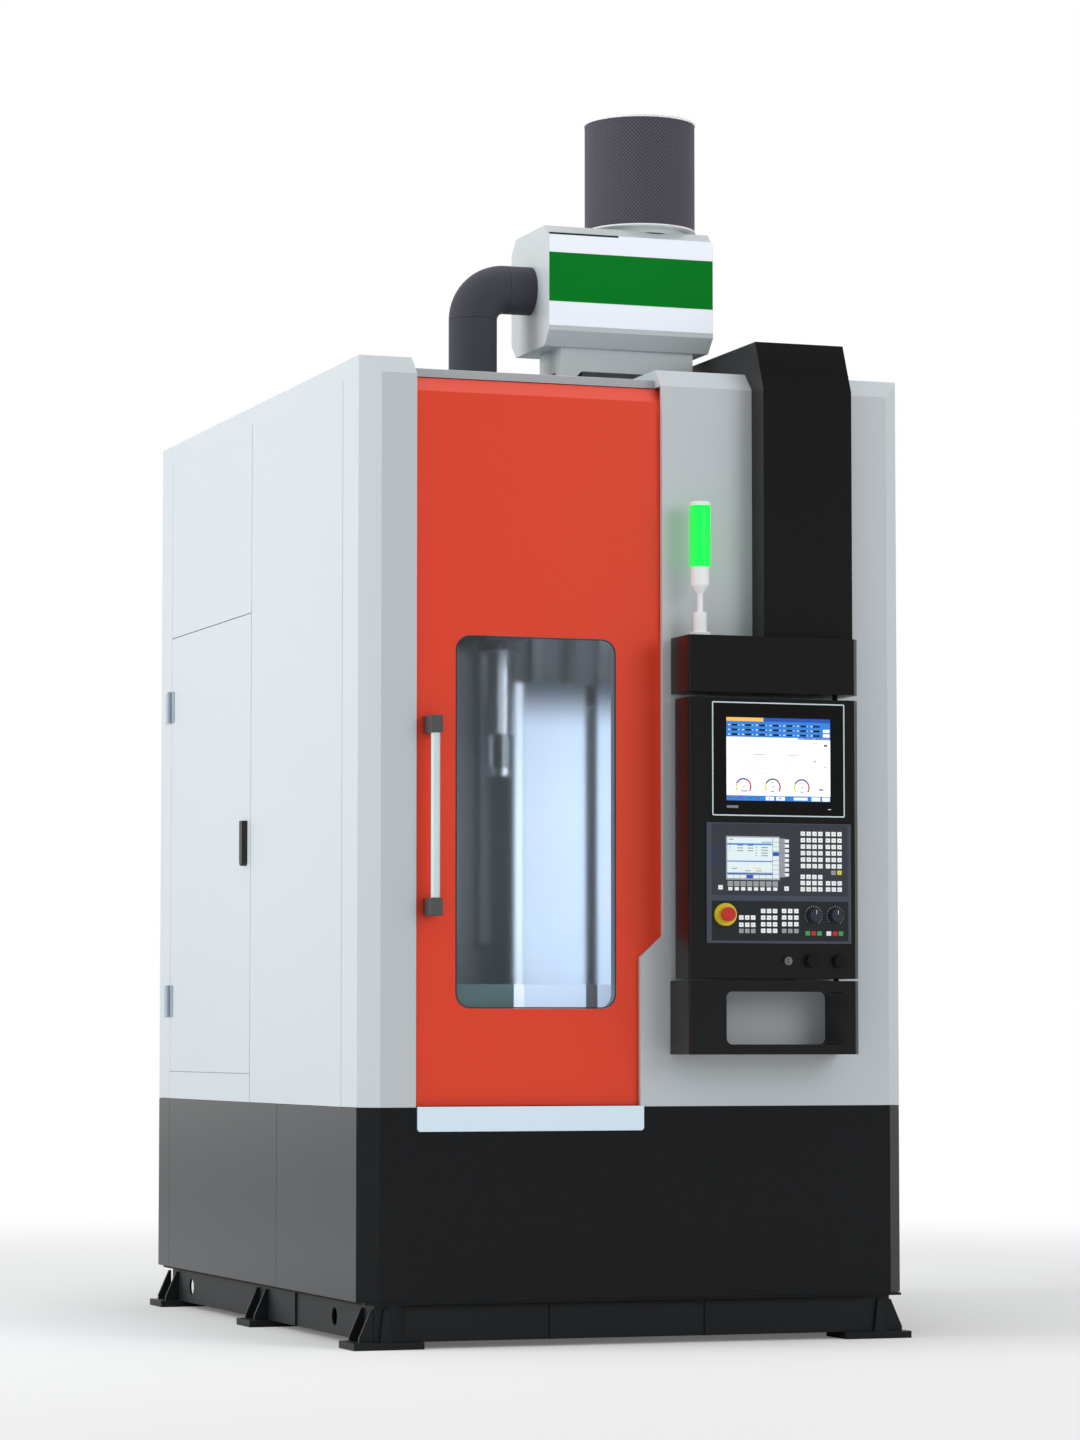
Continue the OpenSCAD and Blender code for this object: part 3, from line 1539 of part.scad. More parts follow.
base_frame();
feet();
lower_apron();
lower_side_panels();
left_corner_post();
left_side_panels();
side_door_frame();
right_side_panels();
rear_panels();
roof_panel();
front_header();
right_cover();
door_sill();
door_rails();
chamber_walls();
quench_tank();
machine_column();
column_guard();
guide_rails();
axis_motors();
spindle_housing();
electrical_cabinet();
duct_cover();
visor();
lower_box();
signal_tower();
tower_lens();
purifier_housing();
mist_filter();
elbow_duct();
front_door_panel();
door_window();
door_handle();
door_hangers();
side_door();
side_door_hinges();
latch_handle();
station_body();
display_unit();
cnc_panel();
panel_keys();
estop_button();
left_override_knob();
right_override_knob();
key_switch();
left_port_cap();
right_port_cap();
cycle_start_key();
cycle_stop_key();
coolant_key();
reset_key();
feed_stop_key();
feed_start_key();
inductor_carriage();
inductor_coil();
tailstock_carriage();
top_centre();
ball_screw();
work_spindle();
fan_rotor();
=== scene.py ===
# %% [markdown]
# An upright induction quenching machine, dressed over its CAD frame.
# The frame gives every wall, hinge and hole its place, in metres, with Z up and -Y towards the operator.
# This lesson adds what a drawing leaves out: paint, glass, rubber, soft edges, keys, screens and light.

# %% Load the frame
import bmesh
import bpy
import json
import math
from mathutils import Matrix, Vector

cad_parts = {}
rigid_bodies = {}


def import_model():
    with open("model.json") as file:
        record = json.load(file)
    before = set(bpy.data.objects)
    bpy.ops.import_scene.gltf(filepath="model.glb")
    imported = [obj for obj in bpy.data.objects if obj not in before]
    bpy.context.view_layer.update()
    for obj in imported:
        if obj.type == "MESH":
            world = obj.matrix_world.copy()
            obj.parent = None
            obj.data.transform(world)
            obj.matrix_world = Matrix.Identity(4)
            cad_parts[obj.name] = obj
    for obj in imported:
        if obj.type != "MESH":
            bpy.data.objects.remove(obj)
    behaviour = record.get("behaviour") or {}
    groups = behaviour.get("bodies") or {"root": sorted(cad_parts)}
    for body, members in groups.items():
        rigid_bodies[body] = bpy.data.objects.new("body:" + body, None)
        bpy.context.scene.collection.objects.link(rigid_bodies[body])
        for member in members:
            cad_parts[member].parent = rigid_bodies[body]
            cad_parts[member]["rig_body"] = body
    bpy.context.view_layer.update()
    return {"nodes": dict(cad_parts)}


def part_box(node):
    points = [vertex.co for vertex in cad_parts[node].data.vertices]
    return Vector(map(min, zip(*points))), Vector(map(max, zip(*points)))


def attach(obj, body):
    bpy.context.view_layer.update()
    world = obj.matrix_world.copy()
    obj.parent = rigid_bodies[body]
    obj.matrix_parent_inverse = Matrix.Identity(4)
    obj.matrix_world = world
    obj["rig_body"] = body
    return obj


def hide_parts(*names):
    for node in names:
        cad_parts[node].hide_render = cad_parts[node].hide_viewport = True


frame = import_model()


# %% [markdown]
# Small helpers come first. Sizes on sheet metal read best in millimetres, so most places are written in
# them and turned into metres at the last moment. A face's middle tells which finish it gets.

# %% Helpers for objects
MM = 0.001
FAR = 99.0
ANYWHERE = (-FAR, FAR)


def in_scene(obj):
    """Puts an object in the scene, once."""
    objects = bpy.context.scene.collection.objects
    if obj.name not in objects:
        objects.link(obj)
    return obj


def mesh_object(name, vertices, edges, faces, finish=None):
    """An object with a plain mesh and at most one finish."""
    mesh = bpy.data.meshes.new(name)
    mesh.from_pydata(vertices, edges, faces)
    if finish:
        mesh.materials.append(finish)
    return bpy.data.objects.new(name, mesh)


def from_bmesh(name, shape, finishes=()):
    """An object from an edited mesh and its finishes."""
    mesh = bpy.data.meshes.new(name)
    shape.to_mesh(mesh)
    shape.free()
    for finish in finishes:
        mesh.materials.append(finish)
    return bpy.data.objects.new(name, mesh)


def box_mm(node):
    """A CAD node's lowest and highest corners in millimetres."""
    return [[value * 1000 for value in corner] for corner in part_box(node)]


def where(x=ANYWHERE, y=ANYWHERE, z=ANYWHERE):
    """A test that is true for a face whose middle lies between these limits, in metres."""
    def test(middle):
        return all(low < value < high for value, (low, high) in zip(middle, (x, y, z)))
    return test


# %% [markdown]
# The camera stands low and to the left, a long way off, as for a catalogue picture of a tall machine.
# Its place was worked out from straight edges that run along the width, depth and height.
# A long lens keeps the uprights nearly parallel, so no lens shift is needed.

# %% Camera
LENS, SENSOR = 111.47, 36.0
CAMERA_PLACE = (-4.868, -14.240, 0.949)
CAMERA_TILT, CAMERA_TURN = 94.0587, -19.2741

camera_data = bpy.data.cameras.new("catalogue camera")
camera_data.lens = LENS
camera_data.sensor_width = SENSOR
camera = in_scene(bpy.data.objects.new("catalogue camera", camera_data))
camera.location = CAMERA_PLACE
camera.rotation_euler = (math.radians(CAMERA_TILT), 0.0, math.radians(CAMERA_TURN))
bpy.context.scene.camera = camera
bpy.context.scene.view_settings.view_transform = "Standard"


# %% [markdown]
# A material is a small network of nodes. These helpers keep a network short to write: its nodes are
# listed by name, and its links are words such as "noise.Fac > mix.Factor". Colours are written as sRGB
# steps and turned into the linear ones that Blender wants.

# %% Helpers for nodes
WHITE = (1.0, 1.0, 1.0, 1.0)


def linear(red, green, blue):
    """The linear colour of an sRGB colour given in steps of 255."""
    shares = [value / 255 for value in (red, green, blue)]
    lit = [s / 12.92 if s <= 0.04045 else ((s + 0.055) / 1.055) ** 2.4 for s in shares]
    return (lit[0], lit[1], lit[2], 1.0)


def new_node(kind, values=None, **settings):
    """What a node will be: its kind, its settings and the values of its unlinked inputs."""
    return kind, settings, values or {}


def maths(operation, values=None):
    """What a Math node will be."""
    return new_node("ShaderNodeMath", values, operation=operation)


def vector_maths(operation):
    """What a Vector Math node will be."""
    return new_node("ShaderNodeVectorMath", operation=operation)


def smooth_range(values):
    """What a Map Range node with soft ends will be."""
    return new_node("MapRange", values, interpolation_type="SMOOTHSTEP")


def socket(sockets, key):
    """A socket by its name or its number."""
    return sockets[int(key) if key.isdigit() else key]


def wired(tree, nodes, links):
    """Adds named nodes to a tree and joins them. A link without socket names joins the first sockets."""
    prefix = "GeometryNode" if tree.bl_idname == "GeometryNodeTree" else "ShaderNode"
    made = {}
    for name, node in nodes.items():
        if isinstance(node, str):
            node = new_node(node)
        if isinstance(node, tuple):
            kind, settings, values = node
            node = tree.nodes.new(kind if "Node" in kind else prefix + kind)
            for key, value in settings.items():
                setattr(node, key, value)
            for key, value in values.items():
                node.inputs[key].default_value = value
        made[name] = node
    for link in links.split(","):
        (source, output), (target, entry) = [(end.strip() + ".0").split(".")[:2] for end in link.split(">")]
        tree.links.new(socket(made[source].outputs, output), socket(made[target].inputs, entry))


def node_group(name, kind, inputs, outputs, nodes, links):
    """A node group with named inputs and outputs. Its two ends are called start and end."""
    group = bpy.data.node_groups.new(name, kind)
    for label, socket_kind, value in inputs:
        entry = group.interface.new_socket(label, in_out="INPUT", socket_type="NodeSocket" + socket_kind)
        if value is not None:
            entry.default_value = value
    for label, socket_kind in outputs:
        group.interface.new_socket(label, in_out="OUTPUT", socket_type="NodeSocket" + socket_kind)
    ends = {"start": group.nodes.new("NodeGroupInput"), "end": group.nodes.new("NodeGroupOutput")}
    wired(group, {**ends, **nodes}, links)
    return group


def material_of(name, nodes, links, values, colour=None):
    """A material whose nodes feed one Principled shader. values are the shader's own."""
    material = bpy.data.materials.new(name)
    material.use_nodes = True
    if colour:
        material.diffuse_color = colour
    shader = material.node_tree.nodes["Principled BSDF"]
    for key, value in values.items():
        shader.inputs[key].default_value = value
    wired(material.node_tree, {"shader": shader, **nodes}, links)
    return material


# %% [markdown]
# The studio is a white sweep. The floor takes the machine's soft shadow near the feet and turns
# into the same white as the background further out, so that no horizon shows.

# %% Floor
HALF_FLOOR = 30.0
SHADE_REACH, WHITE_REACH = 3.6, 9.0
PAPER = (0.79, 0.79, 0.79, 1.0)
PAPER_LIFT = 0.12

corners = [(x * HALF_FLOOR, y * HALF_FLOOR, 0) for x, y in ((-1, -1), (1, -1), (1, 1), (-1, 1))]
paper = bpy.data.materials.new("studio paper")
paper.use_nodes = True
paper.node_tree.nodes.clear()
wired(paper.node_tree, {
    "place": "NewGeometry",
    "distance": vector_maths("LENGTH"),
    "fade": smooth_range({"From Min": SHADE_REACH, "From Max": WHITE_REACH}),
    "sight": "LightPath",
    "both": maths("MULTIPLY"),
    "shaded": new_node("BsdfDiffuse", {"Color": PAPER, "Roughness": 0.5}),
    "lift": new_node("Emission", {"Color": WHITE, "Strength": PAPER_LIFT}),
    "near": "AddShader",
    "far": new_node("Emission", {"Color": WHITE, "Strength": 1.0}),
    "mixed": "MixShader",
    "lit": "MixShader",
    "output": "OutputMaterial",
}, """place.Position > distance, distance.Value > fade.Value, fade.Result > both,
    sight.Is Camera Ray > both.1, shaded > near, lift > near.1, sight.Is Camera Ray > lit, shaded > lit.1,
    near > lit.2, both > mixed, lit > mixed.1, far > mixed.2, mixed > output.Surface""")
floor = in_scene(mesh_object("studio_floor", corners, [], [(0, 1, 2, 3)], paper))

# %% [markdown]
# What the camera sees of the world is plain white. Gloss sees a room that is bright behind the machine
# and dim behind the camera, which is what lets black sheet metal look black from the front.
# Three large soft lamps, from the left, the front and above, give the walls their different greys.

# %% World and lamps
AMBIENT = 0.60
BRIGHT_ROOM, DIM_ROOM = 0.95, 0.20
ROOM_FRONT, ROOM_BACK = -0.5, 0.25

world = bpy.data.worlds.new("white studio")
bpy.context.scene.world = world
world.use_nodes = True
world.node_tree.nodes.clear()
room_range = {"From Min": ROOM_FRONT, "From Max": ROOM_BACK, "To Min": DIM_ROOM, "To Max": BRIGHT_ROOM}
wired(world.node_tree, {
    "sight": "LightPath",
    "direction": "TexCoord",
    "split": "SeparateXYZ",
    "ramp": smooth_range(room_range),
    "soft": new_node("Background", {"Color": WHITE, "Strength": AMBIENT}),
    "room": new_node("Background", {"Color": WHITE}),
    "white": new_node("Background", {"Color": WHITE, "Strength": 1.0}),
    "gloss_or_soft": "MixShader",
    "clear": maths("MAXIMUM"),
    "seen": "MixShader",
    "output": "OutputWorld",
}, """direction.Generated > split, split.Y > ramp.Value, ramp.Result > room.Strength,
    sight.Is Glossy Ray > gloss_or_soft, soft > gloss_or_soft.1, room > gloss_or_soft.2,
    sight.Is Camera Ray > clear, sight.Is Transmission Ray > clear.1, clear > seen,
    gloss_or_soft > seen.1, white > seen.2, seen > output.Surface""")


def soft_lamp(name, place, aim, size, power, tint):
    """A square area lamp that points at a spot and shows in no reflection."""
    data = bpy.data.lights.new(name, "AREA")
    data.shape = "SQUARE"
    data.size = size
    data.energy = power
    data.color = tint
    lamp = in_scene(bpy.data.objects.new(name, data))
    lamp.location = place
    lamp.rotation_euler = (Vector(aim) - Vector(place)).to_track_quat("-Z", "Y").to_euler()
    lamp.visible_glossy = False
    return lamp


soft_lamp("left softbox", (-9.0, 0.4, 4.2), (0.0, 0.0, 1.6), 5.0, 460.0, (0.95, 0.98, 1.0))
soft_lamp("front softbox", (5.5, -11.0, 4.6), (0.2, 0.0, 1.8), 5.0, 268.0, (0.97, 0.98, 1.0))
soft_lamp("top softbox", (0.6, -1.2, 9.0), (0.3, -0.6, 3.0), 4.0, 115.0, (0.98, 0.99, 1.0))
print("studio lit, ambient", AMBIENT)


# %% [markdown]
# No painted wall is one flat colour. Paint varies a little in tone over a metre, has a fine sprayed grain,
# and holds some dust on faces that look up. Each effect is a node group with named sockets,
# so that every finish can use it with its own values. Brushed metal gets long thin scratches the same way.

# %% Shared effects
MID_GREY = (0.5, 0.5, 0.5, 1.0)
DUST_COLOUR = (0.5, 0.49, 0.47, 1.0)


def effect(name, inputs, outputs, nodes, links):
    """A shared effect, which puts out only colours, masks or heights."""
    return node_group(name, "ShaderNodeTree", inputs, outputs, nodes, links)


# Slow changes of brightness over a painted or cast surface
TONE_INPUTS = [("Colour", "Color", MID_GREY), ("Amount", "Float", 0.06), ("Scale", "Float", 1.5)]
TONE = effect("Uneven tone", TONE_INPUTS, [("Colour", "Color")], {
    "coords": "TexCoord",
    "noise": new_node("TexNoise", {"Detail": 3.0, "Roughness": 0.55}),
    "centred": maths("SUBTRACT", {1: 0.5}),
    "scaled": maths("MULTIPLY_ADD", {2: 1.0}),
    "tinted": vector_maths("SCALE"),
}, """coords.Object > noise.Vector, start.Scale > noise.Scale, noise > centred, centred > scaled,
    start.Amount > scaled.1, start.Colour > tinted, scaled > tinted.Scale, tinted > end.Colour""")

# The fine orange peel of powder coat, as a height
GRAIN = effect("Sprayed grain", [("Scale", "Float", 350.0), ("Depth", "Float", 0.3)], [("Height", "Float")], {
    "coords": "TexCoord",
    "noise": new_node("TexNoise", {"Detail": 2.0}),
    "depth": maths("MULTIPLY"),
}, """coords.Object > noise.Vector, start.Scale > noise.Scale, noise > depth, start.Depth > depth.1,
    depth > end.Height""")

# Pale dust that lies in patches on faces that look up
DUST_INPUTS = [("Colour", "Color", MID_GREY), ("Dust", "Color", DUST_COLOUR), ("Amount", "Float", 0.3)]
DUST = effect("Settled dust", DUST_INPUTS, [("Colour", "Color")], {
    "coords": "TexCoord",
    "shape": "NewGeometry",
    "split": "SeparateXYZ",
    "up": new_node("MapRange", {"From Min": 0.55, "From Max": 1.0}),
    "patches": new_node("TexNoise", {"Scale": 9.0, "Detail": 4.0}),
    "cover": maths("MULTIPLY"),
    "share": maths("MULTIPLY"),
    "mix": new_node("Mix", data_type="RGBA"),
}, """shape.Normal > split, split.Z > up.Value, coords.Object > patches.Vector, up > cover,
    patches > cover.1, cover > share, start.Amount > share.1, share > mix.Factor, start.Colour > mix.A,
    start.Dust > mix.B, mix.Result > end.Colour""")

# Long thin scratches along one direction, as a mask and a height
BRUSHED_INPUTS = [("Across", "Vector", (400.0, 400.0, 6.0)), ("Depth", "Float", 0.2)]
BRUSHED = effect("Brushed lines", BRUSHED_INPUTS, [("Lines", "Float"), ("Height", "Float")], {
    "coords": "TexCoord",
    "stretched": vector_maths("MULTIPLY"),
    "noise": new_node("TexNoise", {"Scale": 1.0, "Detail": 2.0}),
    "depth": maths("MULTIPLY"),
}, """coords.Object > stretched, start.Across > stretched.1, stretched > noise.Vector, noise > depth,
    start.Depth > depth.1, noise > end.Lines, depth > end.Height""")


def placed(group, values):
    """What a node will be that holds a shared effect with this material's own values."""
    return new_node("Group", values, node_tree=group)


print("effects:", [group.name for group in (TONE, GRAIN, DUST, BRUSHED)])


# %% [markdown]
# Paint, cast iron, plastic and rubber differ in colour, gloss and grain only, so one recipe serves them.
# The grain feeds a Bump node, which tilts the light without moving the surface.
# Bare metal has a recipe of its own, because its colour lies in the reflection and its grain runs one way.
# Screens and lamps have a third one, with a light of their own. A few plates, keys and sheets that are no
# lamps use it too, and there their glow is painted light.

# %% Recipes for finishes
LONG_GRAIN = (500.0, 500.0, 5.0)
GROUND_GRAIN = (380.0, 380.0, 8.0)


def coated(name, colour, roughness=0.45, tone=0.06, tone_scale=1.3, grain=350.0, depth=0.25, dust=0.12,
           shine=0.5, lift=0.0):
    """Paint, plastic or rubber with uneven tone, sprayed grain and dust. lift is a faint glow of its own,
    painted light on a part that is no lamp.
    """
    nodes = {
        "tone": placed(TONE, {"Colour": linear(*colour), "Amount": tone, "Scale": tone_scale}),
        "dust": placed(DUST, {"Amount": dust}),
        "grain": placed(GRAIN, {"Scale": grain, "Depth": depth}),
        "bump": new_node("Bump", {"Strength": 0.25, "Distance": 0.0006}),
    }
    links = """tone.Colour > dust.Colour, dust.Colour > shader.Base Color,
        dust.Colour > shader.Emission Color, grain.Height > bump.Height, bump.Normal > shader.Normal"""
    values = {"Roughness": roughness, "Specular IOR Level": shine, "Emission Strength": lift}
    return material_of(name, nodes, links, values, linear(*colour))


def bare_metal(name, colour, roughness=0.3, across=LONG_GRAIN, depth=0.15, metal=1.0):
    """Ground, brushed or cast metal with scratches along one direction."""
    nodes = {
        "lines": placed(BRUSHED, {"Across": across, "Depth": depth}),
        "tone": placed(TONE, {"Colour": linear(*colour), "Amount": 0.12, "Scale": 5.0}),
        "rough": new_node("MapRange", {"To Min": roughness * 0.75, "To Max": roughness * 1.3}),
        "bump": new_node("Bump", {"Strength": 0.2, "Distance": 0.0004}),
    }
    links = """tone.Colour > shader.Base Color, lines.Lines > rough.Value,
        rough.Result > shader.Roughness, lines.Height > bump.Height, bump.Normal > shader.Normal"""
    return material_of(name, nodes, links, {"Metallic": metal}, linear(*colour))


def glowing(name, colour, strength, gloss=0.35):
    """A lit screen field or lamp, with a faint unevenness of its light. On a plate, key or sheet that is no
    lamp, the glow is painted light.
    """
    nodes = {"tone": placed(TONE, {"Colour": linear(*colour), "Amount": 0.05, "Scale": 12.0})}
    links = "tone.Colour > shader.Emission Color, tone.Colour > shader.Base Color"
    values = {"Emission Strength": strength, "Roughness": gloss}
    return material_of(name, nodes, links, values, linear(*colour))


# %% [markdown]
# The numbers after each colour are roughness, tone, tone scale, grain, depth, dust and shine for coatings,
# and roughness, grain direction, depth and metal share for metals.

# %% Finishes
grey_paint = coated("light grey powder coat", (203, 210, 214), 0.42, 0.03, 0.9)
# The lighter copy of the grey goes on the rounded edges as a painted highlight.
grey_edge_highlight = coated("light grey powder coat, thinner over an edge", (214, 220, 224), 0.38, 0.03, 0.9)
header_paint = coated("mid grey powder coat", (176, 184, 188), 0.42, 0.04, 0.9)
skirt_paint = coated("black semi-gloss powder coat", (22, 28, 33), 0.24, 0.12, 1.1, 420.0, 0.2, 0.05, 0.37)
apron_paint = coated("black satin skirt powder coat", (19, 21, 23), 0.40, 0.10, 1.1, 420.0, 0.2, 0.05, 0.25)
red_paint = coated("orange red powder coat", (240, 64, 28), 0.36, 0.04, 0.8)
station_paint = coated("black satin powder coat", (15, 15, 16), 0.34, 0.10, 2.5, 420.0, 0.22, 0.04, 0.42)
iron_paint = coated("dark grey machine enamel", (56, 60, 63), 0.48, 0.14, 3.0, 260.0, 0.35, 0.16)
chamber_paint = coated("grey chamber enamel", (112, 116, 119), 0.50, 0.06, 3.0, 260.0, 0.3, 0.08)
base_paint = coated("charcoal machine enamel", (33, 36, 38), 0.46, 0.12, 3.0, 260.0, 0.35, 0.06, 0.22)
# The sill's faint glow (lift) is painted light: the sill is no lamp.
sill_paint = coated("pale blue grey powder coat", (224, 242, 255), 0.40, 0.03, 2.0, lift=0.07)
slate_paint = coated("slate purple ribbed plastic", (68, 68, 77), 0.62, 0.10, 5.0, 500.0, 0.3, 0.06, 0.3)
white_paint = coated("white enamel", (232, 236, 240), 0.34, 0.03, 3.0)
rubber = coated("black rubber", (22, 22, 23), 0.75, 0.10, 9.0, 700.0, 0.4, 0.10, 0.3)
black_plastic = coated("black moulded plastic", (28, 29, 32), 0.42, 0.08, 9.0, 900.0, 0.35, 0.04, 0.4)
tank_paint = coated("green basin enamel", (90, 122, 118), 0.40, 0.12, 2.5, 300.0, 0.3, 0.1)
rim_plastic = coated("blue grey moulded plastic", (70, 78, 94), 0.40, 0.06, 6.0, 900.0, 0.3, 0.03, 0.4)
bracket_plastic = coated("dark grey bracket plastic", (84, 87, 87), 0.42, 0.06, 9.0, 900.0, 0.35, 0.04, 0.4)
oiled_steel = bare_metal("oiled slide steel", (142, 146, 150), 0.34, GROUND_GRAIN, 0.15, 0.3)
ground_steel = bare_metal("ground steel", (190, 194, 198), 0.28, GROUND_GRAIN)
brushed_aluminium = bare_metal("brushed aluminium", (206, 210, 214), 0.32)
bar_aluminium = bare_metal("satin anodised tube", (232, 250, 255), 0.30, LONG_GRAIN, 0.1, 0.25)
bright_sheet = bare_metal("bright stainless sheet", (222, 232, 244), 0.34, (6.0, 420.0, 420.0), 0.1, 0.35)
copper = bare_metal("drawn copper", (196, 118, 76), 0.28, (30.0, 30.0, 300.0), 0.2)
zinc = bare_metal("zinc plated steel", (178, 190, 200), 0.38, (60.0, 60.0, 60.0), 0.2, 0.45)
print("finishes:", len(bpy.data.materials))


# %% [markdown]
# A drawing's edges are knife sharp, but folded and painted sheet has about a millimetre of radius that
# catches light. Each CAD solid that shows is copied, its triangles are joined into whole faces, and a
# Bevel modifier rounds its edges. Weighted normals keep the big faces flat while the narrow strips turn
# smoothly. On some panels the strips get a slightly lighter finish, a painted highlight along the edge.

# %% Soft edges
SHARP_ANGLE = 32.0
FLAT_ANGLE = 0.5
SAME_POINT = 0.00002
AREA_GROWTH = 1.0005
FLAT_WEIGHT = 60


def hold(obj, body, slot_name, *nodes):
    """Puts a finished piece on its body and hides the CAD nodes it stands for. slot_name is not used."""
    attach(in_scene(obj), body)
    if nodes:
        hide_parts(*nodes)
    return obj


def settled(obj):
    """Turns an object's modifiers into its own plain mesh."""
    in_scene(obj)
    view = bpy.context.evaluated_depsgraph_get()
    mesh = bpy.data.meshes.new_from_object(obj.evaluated_get(view), depsgraph=view)
    obj.modifiers.clear()
    obj.data = mesh
    mesh.name = obj.name
    return obj


def rounded(obj, width, segments=2, edge_slot=-1):
    """Rounds an object's sharp edges and settles it."""
    for face in obj.data.polygons:
        face.use_smooth = True
    bevel = obj.modifiers.new("edge radius", "BEVEL")
    bevel.width = width
    bevel.segments = segments
    bevel.limit_method = "ANGLE"
    bevel.angle_limit = math.radians(SHARP_ANGLE)
    bevel.material = edge_slot
    flat = obj.modifiers.new("flat faces stay flat", "WEIGHTED_NORMAL")
    flat.mode = "FACE_AREA"
    flat.weight = FLAT_WEIGHT
    return settled(obj)


def area_of(mesh):
    """The area of a mesh in square metres, counted by its triangles."""
    mesh.calc_loop_triangles()
    return sum(triangle.area for triangle in mesh.loop_triangles)


def sorted_copy(node, finishes, whole_faces):
    """A copy of a CAD node without doubles, each face with its finish. Flat faces are joined on demand."""
    shape = bmesh.new()
    shape.from_mesh(frame["nodes"][node].data)
    bmesh.ops.remove_doubles(shape, verts=shape.verts, dist=SAME_POINT)
    for face in shape.faces:
        middle = face.calc_center_median()
        face.material_index = next(i for i, (finish, test) in enumerate(finishes) if not test or test(middle))
    if whole_faces:
        limit = math.radians(FLAT_ANGLE)
        bmesh.ops.dissolve_limit(shape, angle_limit=limit, verts=shape.verts, edges=shape.edges,
                                 delimit={"MATERIAL"})
    return from_bmesh(node + "_dressed", shape, [finish for finish, test in finishes])


def softened(node, finish, slot_name, width=0.0012, edge=None, segments=2, special=()):
    """A copy of a CAD node with round edges. special lists further finishes, each with a test of faces."""
    finishes = [*special, (finish, None)]
    for whole_faces in (True, False):
        obj = sorted_copy(node, finishes, whole_faces)
        before = area_of(obj.data)
        edge_slot = -1
        if edge:
            obj.data.materials.append(edge)
            edge_slot = len(finishes)
        rounded(obj, width, segments, edge_slot)
        # A face with a hole can fold over itself when it is rounded whole, and then its area grows
        if area_of(obj.data) <= before * AREA_GROWTH or not whole_faces:
            break
        bpy.data.objects.remove(obj)
    return hold(obj, frame["nodes"][node]["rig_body"], slot_name, node)


# The hinge leaves stand out of the left side, and the sliding door is grey inside
on_hinges = where(x=(-FAR, -0.9003))
inside_door = where(x=(-0.742, 0.114), y=(-1.2355, FAR), z=(-FAR, 2.93))

for node in ("left_corner_post", "left_side_panels", "right_side_panels", "rear_panels", "right_cover"):
    softened(node, grey_paint, "body_paint", 0.0012, grey_edge_highlight)
softened("side_door_frame", grey_paint, "body_paint", 0.0010, special=[(zinc, on_hinges)])
softened("side_door", grey_paint, "body_paint", 0.0012, grey_edge_highlight)
softened("side_door_hinges", zinc, "steel", 0.0008)
softened("front_header", header_paint, "body_paint", 0.0012, grey_edge_highlight)
softened("roof_panel", header_paint, "body_paint", 0.0010)
softened("lower_apron", apron_paint, "skirt_paint")
softened("lower_side_panels", skirt_paint, "skirt_paint")
softened("door_sill", sill_paint, "sill_paint")
softened("front_door_panel", red_paint, "red_paint", 0.0015, special=[(header_paint, inside_door)])
softened("base_frame", base_paint, "base_paint", 0.0020)
softened("feet", base_paint, "base_paint", 0.0015)
for node in ("duct_cover", "visor", "station_body", "lower_box"):
    softened(node, station_paint, "station_black")
softened("latch_handle", black_plastic, "black_plastic", 0.0015)


# %% [markdown]
# Inside, through the frosted window, stand the column, the slides, the guard and the basin. They are
# heavy cast and welded parts, so they get wider radii and rougher enamel, and the sliding faces are
# steel. The guard's metal is painted darker towards its upper end, a painted reflection of the dark roof.

# %% Inner works
GUARD_FADE = 0.16
PAINTED_ROOF_REFLECTION = linear(84, 90, 98)


# The colour fades darker upwards as a painted reflection, in place of what the metal would mirror.
def darker_upwards(material, z_bright, z_dark, dark):
    """Lets a metal's colour fade to a dark one between two heights."""
    tree = material.node_tree
    shader = tree.nodes["Principled BSDF"]
    wired(tree, {
        "shader": shader,
        "tone": shader.inputs["Base Color"].links[0].from_node,
        "coords": "TexCoord",
        "split": "SeparateXYZ",
        "level": smooth_range({"From Min": z_bright, "From Max": z_dark}),
        "mix": new_node("Mix", {"B": dark}, data_type="RGBA"),
    }, """coords.Object > split, split.Z > level.Value, level.Result > mix.Factor, tone.Colour > mix.A,
        mix.Result > shader.Base Color""")


# The carriages' faces beside the rails, the housing below its flange, the drives and breakers in the cabinet
beside_rails = where(y=(-0.54, FAR))
below_flange = where(z=(-FAR, 0.84))
on_drives = where(x=(-0.66, -0.46), y=(0.04, 1.03), z=(1.82, 2.22))
on_breakers = where(x=(-0.537, -0.527))

softened("machine_column", chamber_paint, "machine_casting", 0.0020)
softened("guide_rails", oiled_steel, "steel", 0.0010)
guard_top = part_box("column_guard")[1].z
# A painted reflection of the dark roof darkens the guard's upper end.
darker_upwards(bright_sheet, guard_top - GUARD_FADE, guard_top, PAINTED_ROOF_REFLECTION)
softened("column_guard", bright_sheet, "steel", 0.0010)
softened("chamber_walls", chamber_paint, "machine_paint", 0.0010)
softened("quench_tank", tank_paint, "tank_paint")
softened("spindle_housing", ground_steel, "machine_casting", 0.0020, special=[(iron_paint, below_flange)])
softened("axis_motors", black_plastic, "motor_paint", 0.0030)
devices = [(black_plastic, on_drives), (white_paint, on_breakers)]
softened("electrical_cabinet", zinc, "cabinet_paint", 0.0010, special=devices)
softened("door_rails", ground_steel, "steel", 0.0010)
softened("door_hangers", zinc, "steel", 0.0010)
softened("inductor_carriage", brushed_aluminium, "aluminium", 0.0015, special=[(zinc, beside_rails)])
softened("inductor_coil", copper, "copper", 0.0020)
softened("tailstock_carriage", iron_paint, "machine_casting", 0.0030, special=[(zinc, beside_rails)])
softened("top_centre", ground_steel, "steel")
softened("work_spindle", ground_steel, "steel")
softened("ball_screw", ground_steel, "steel", 0.0008)
softened("fan_rotor", black_plastic, "motor_paint", 0.0008)
print("inner works dressed")


# %% [markdown]
# The chamber has lamps of its own, as such machines do, so that the operator sees the work.
# A wide strip of light behind the door lights the guard, and a weak narrow one the column beside it.
# Their light is what shows through the frosted window.

# %% Chamber lamps
LAMP_Y = -1.12


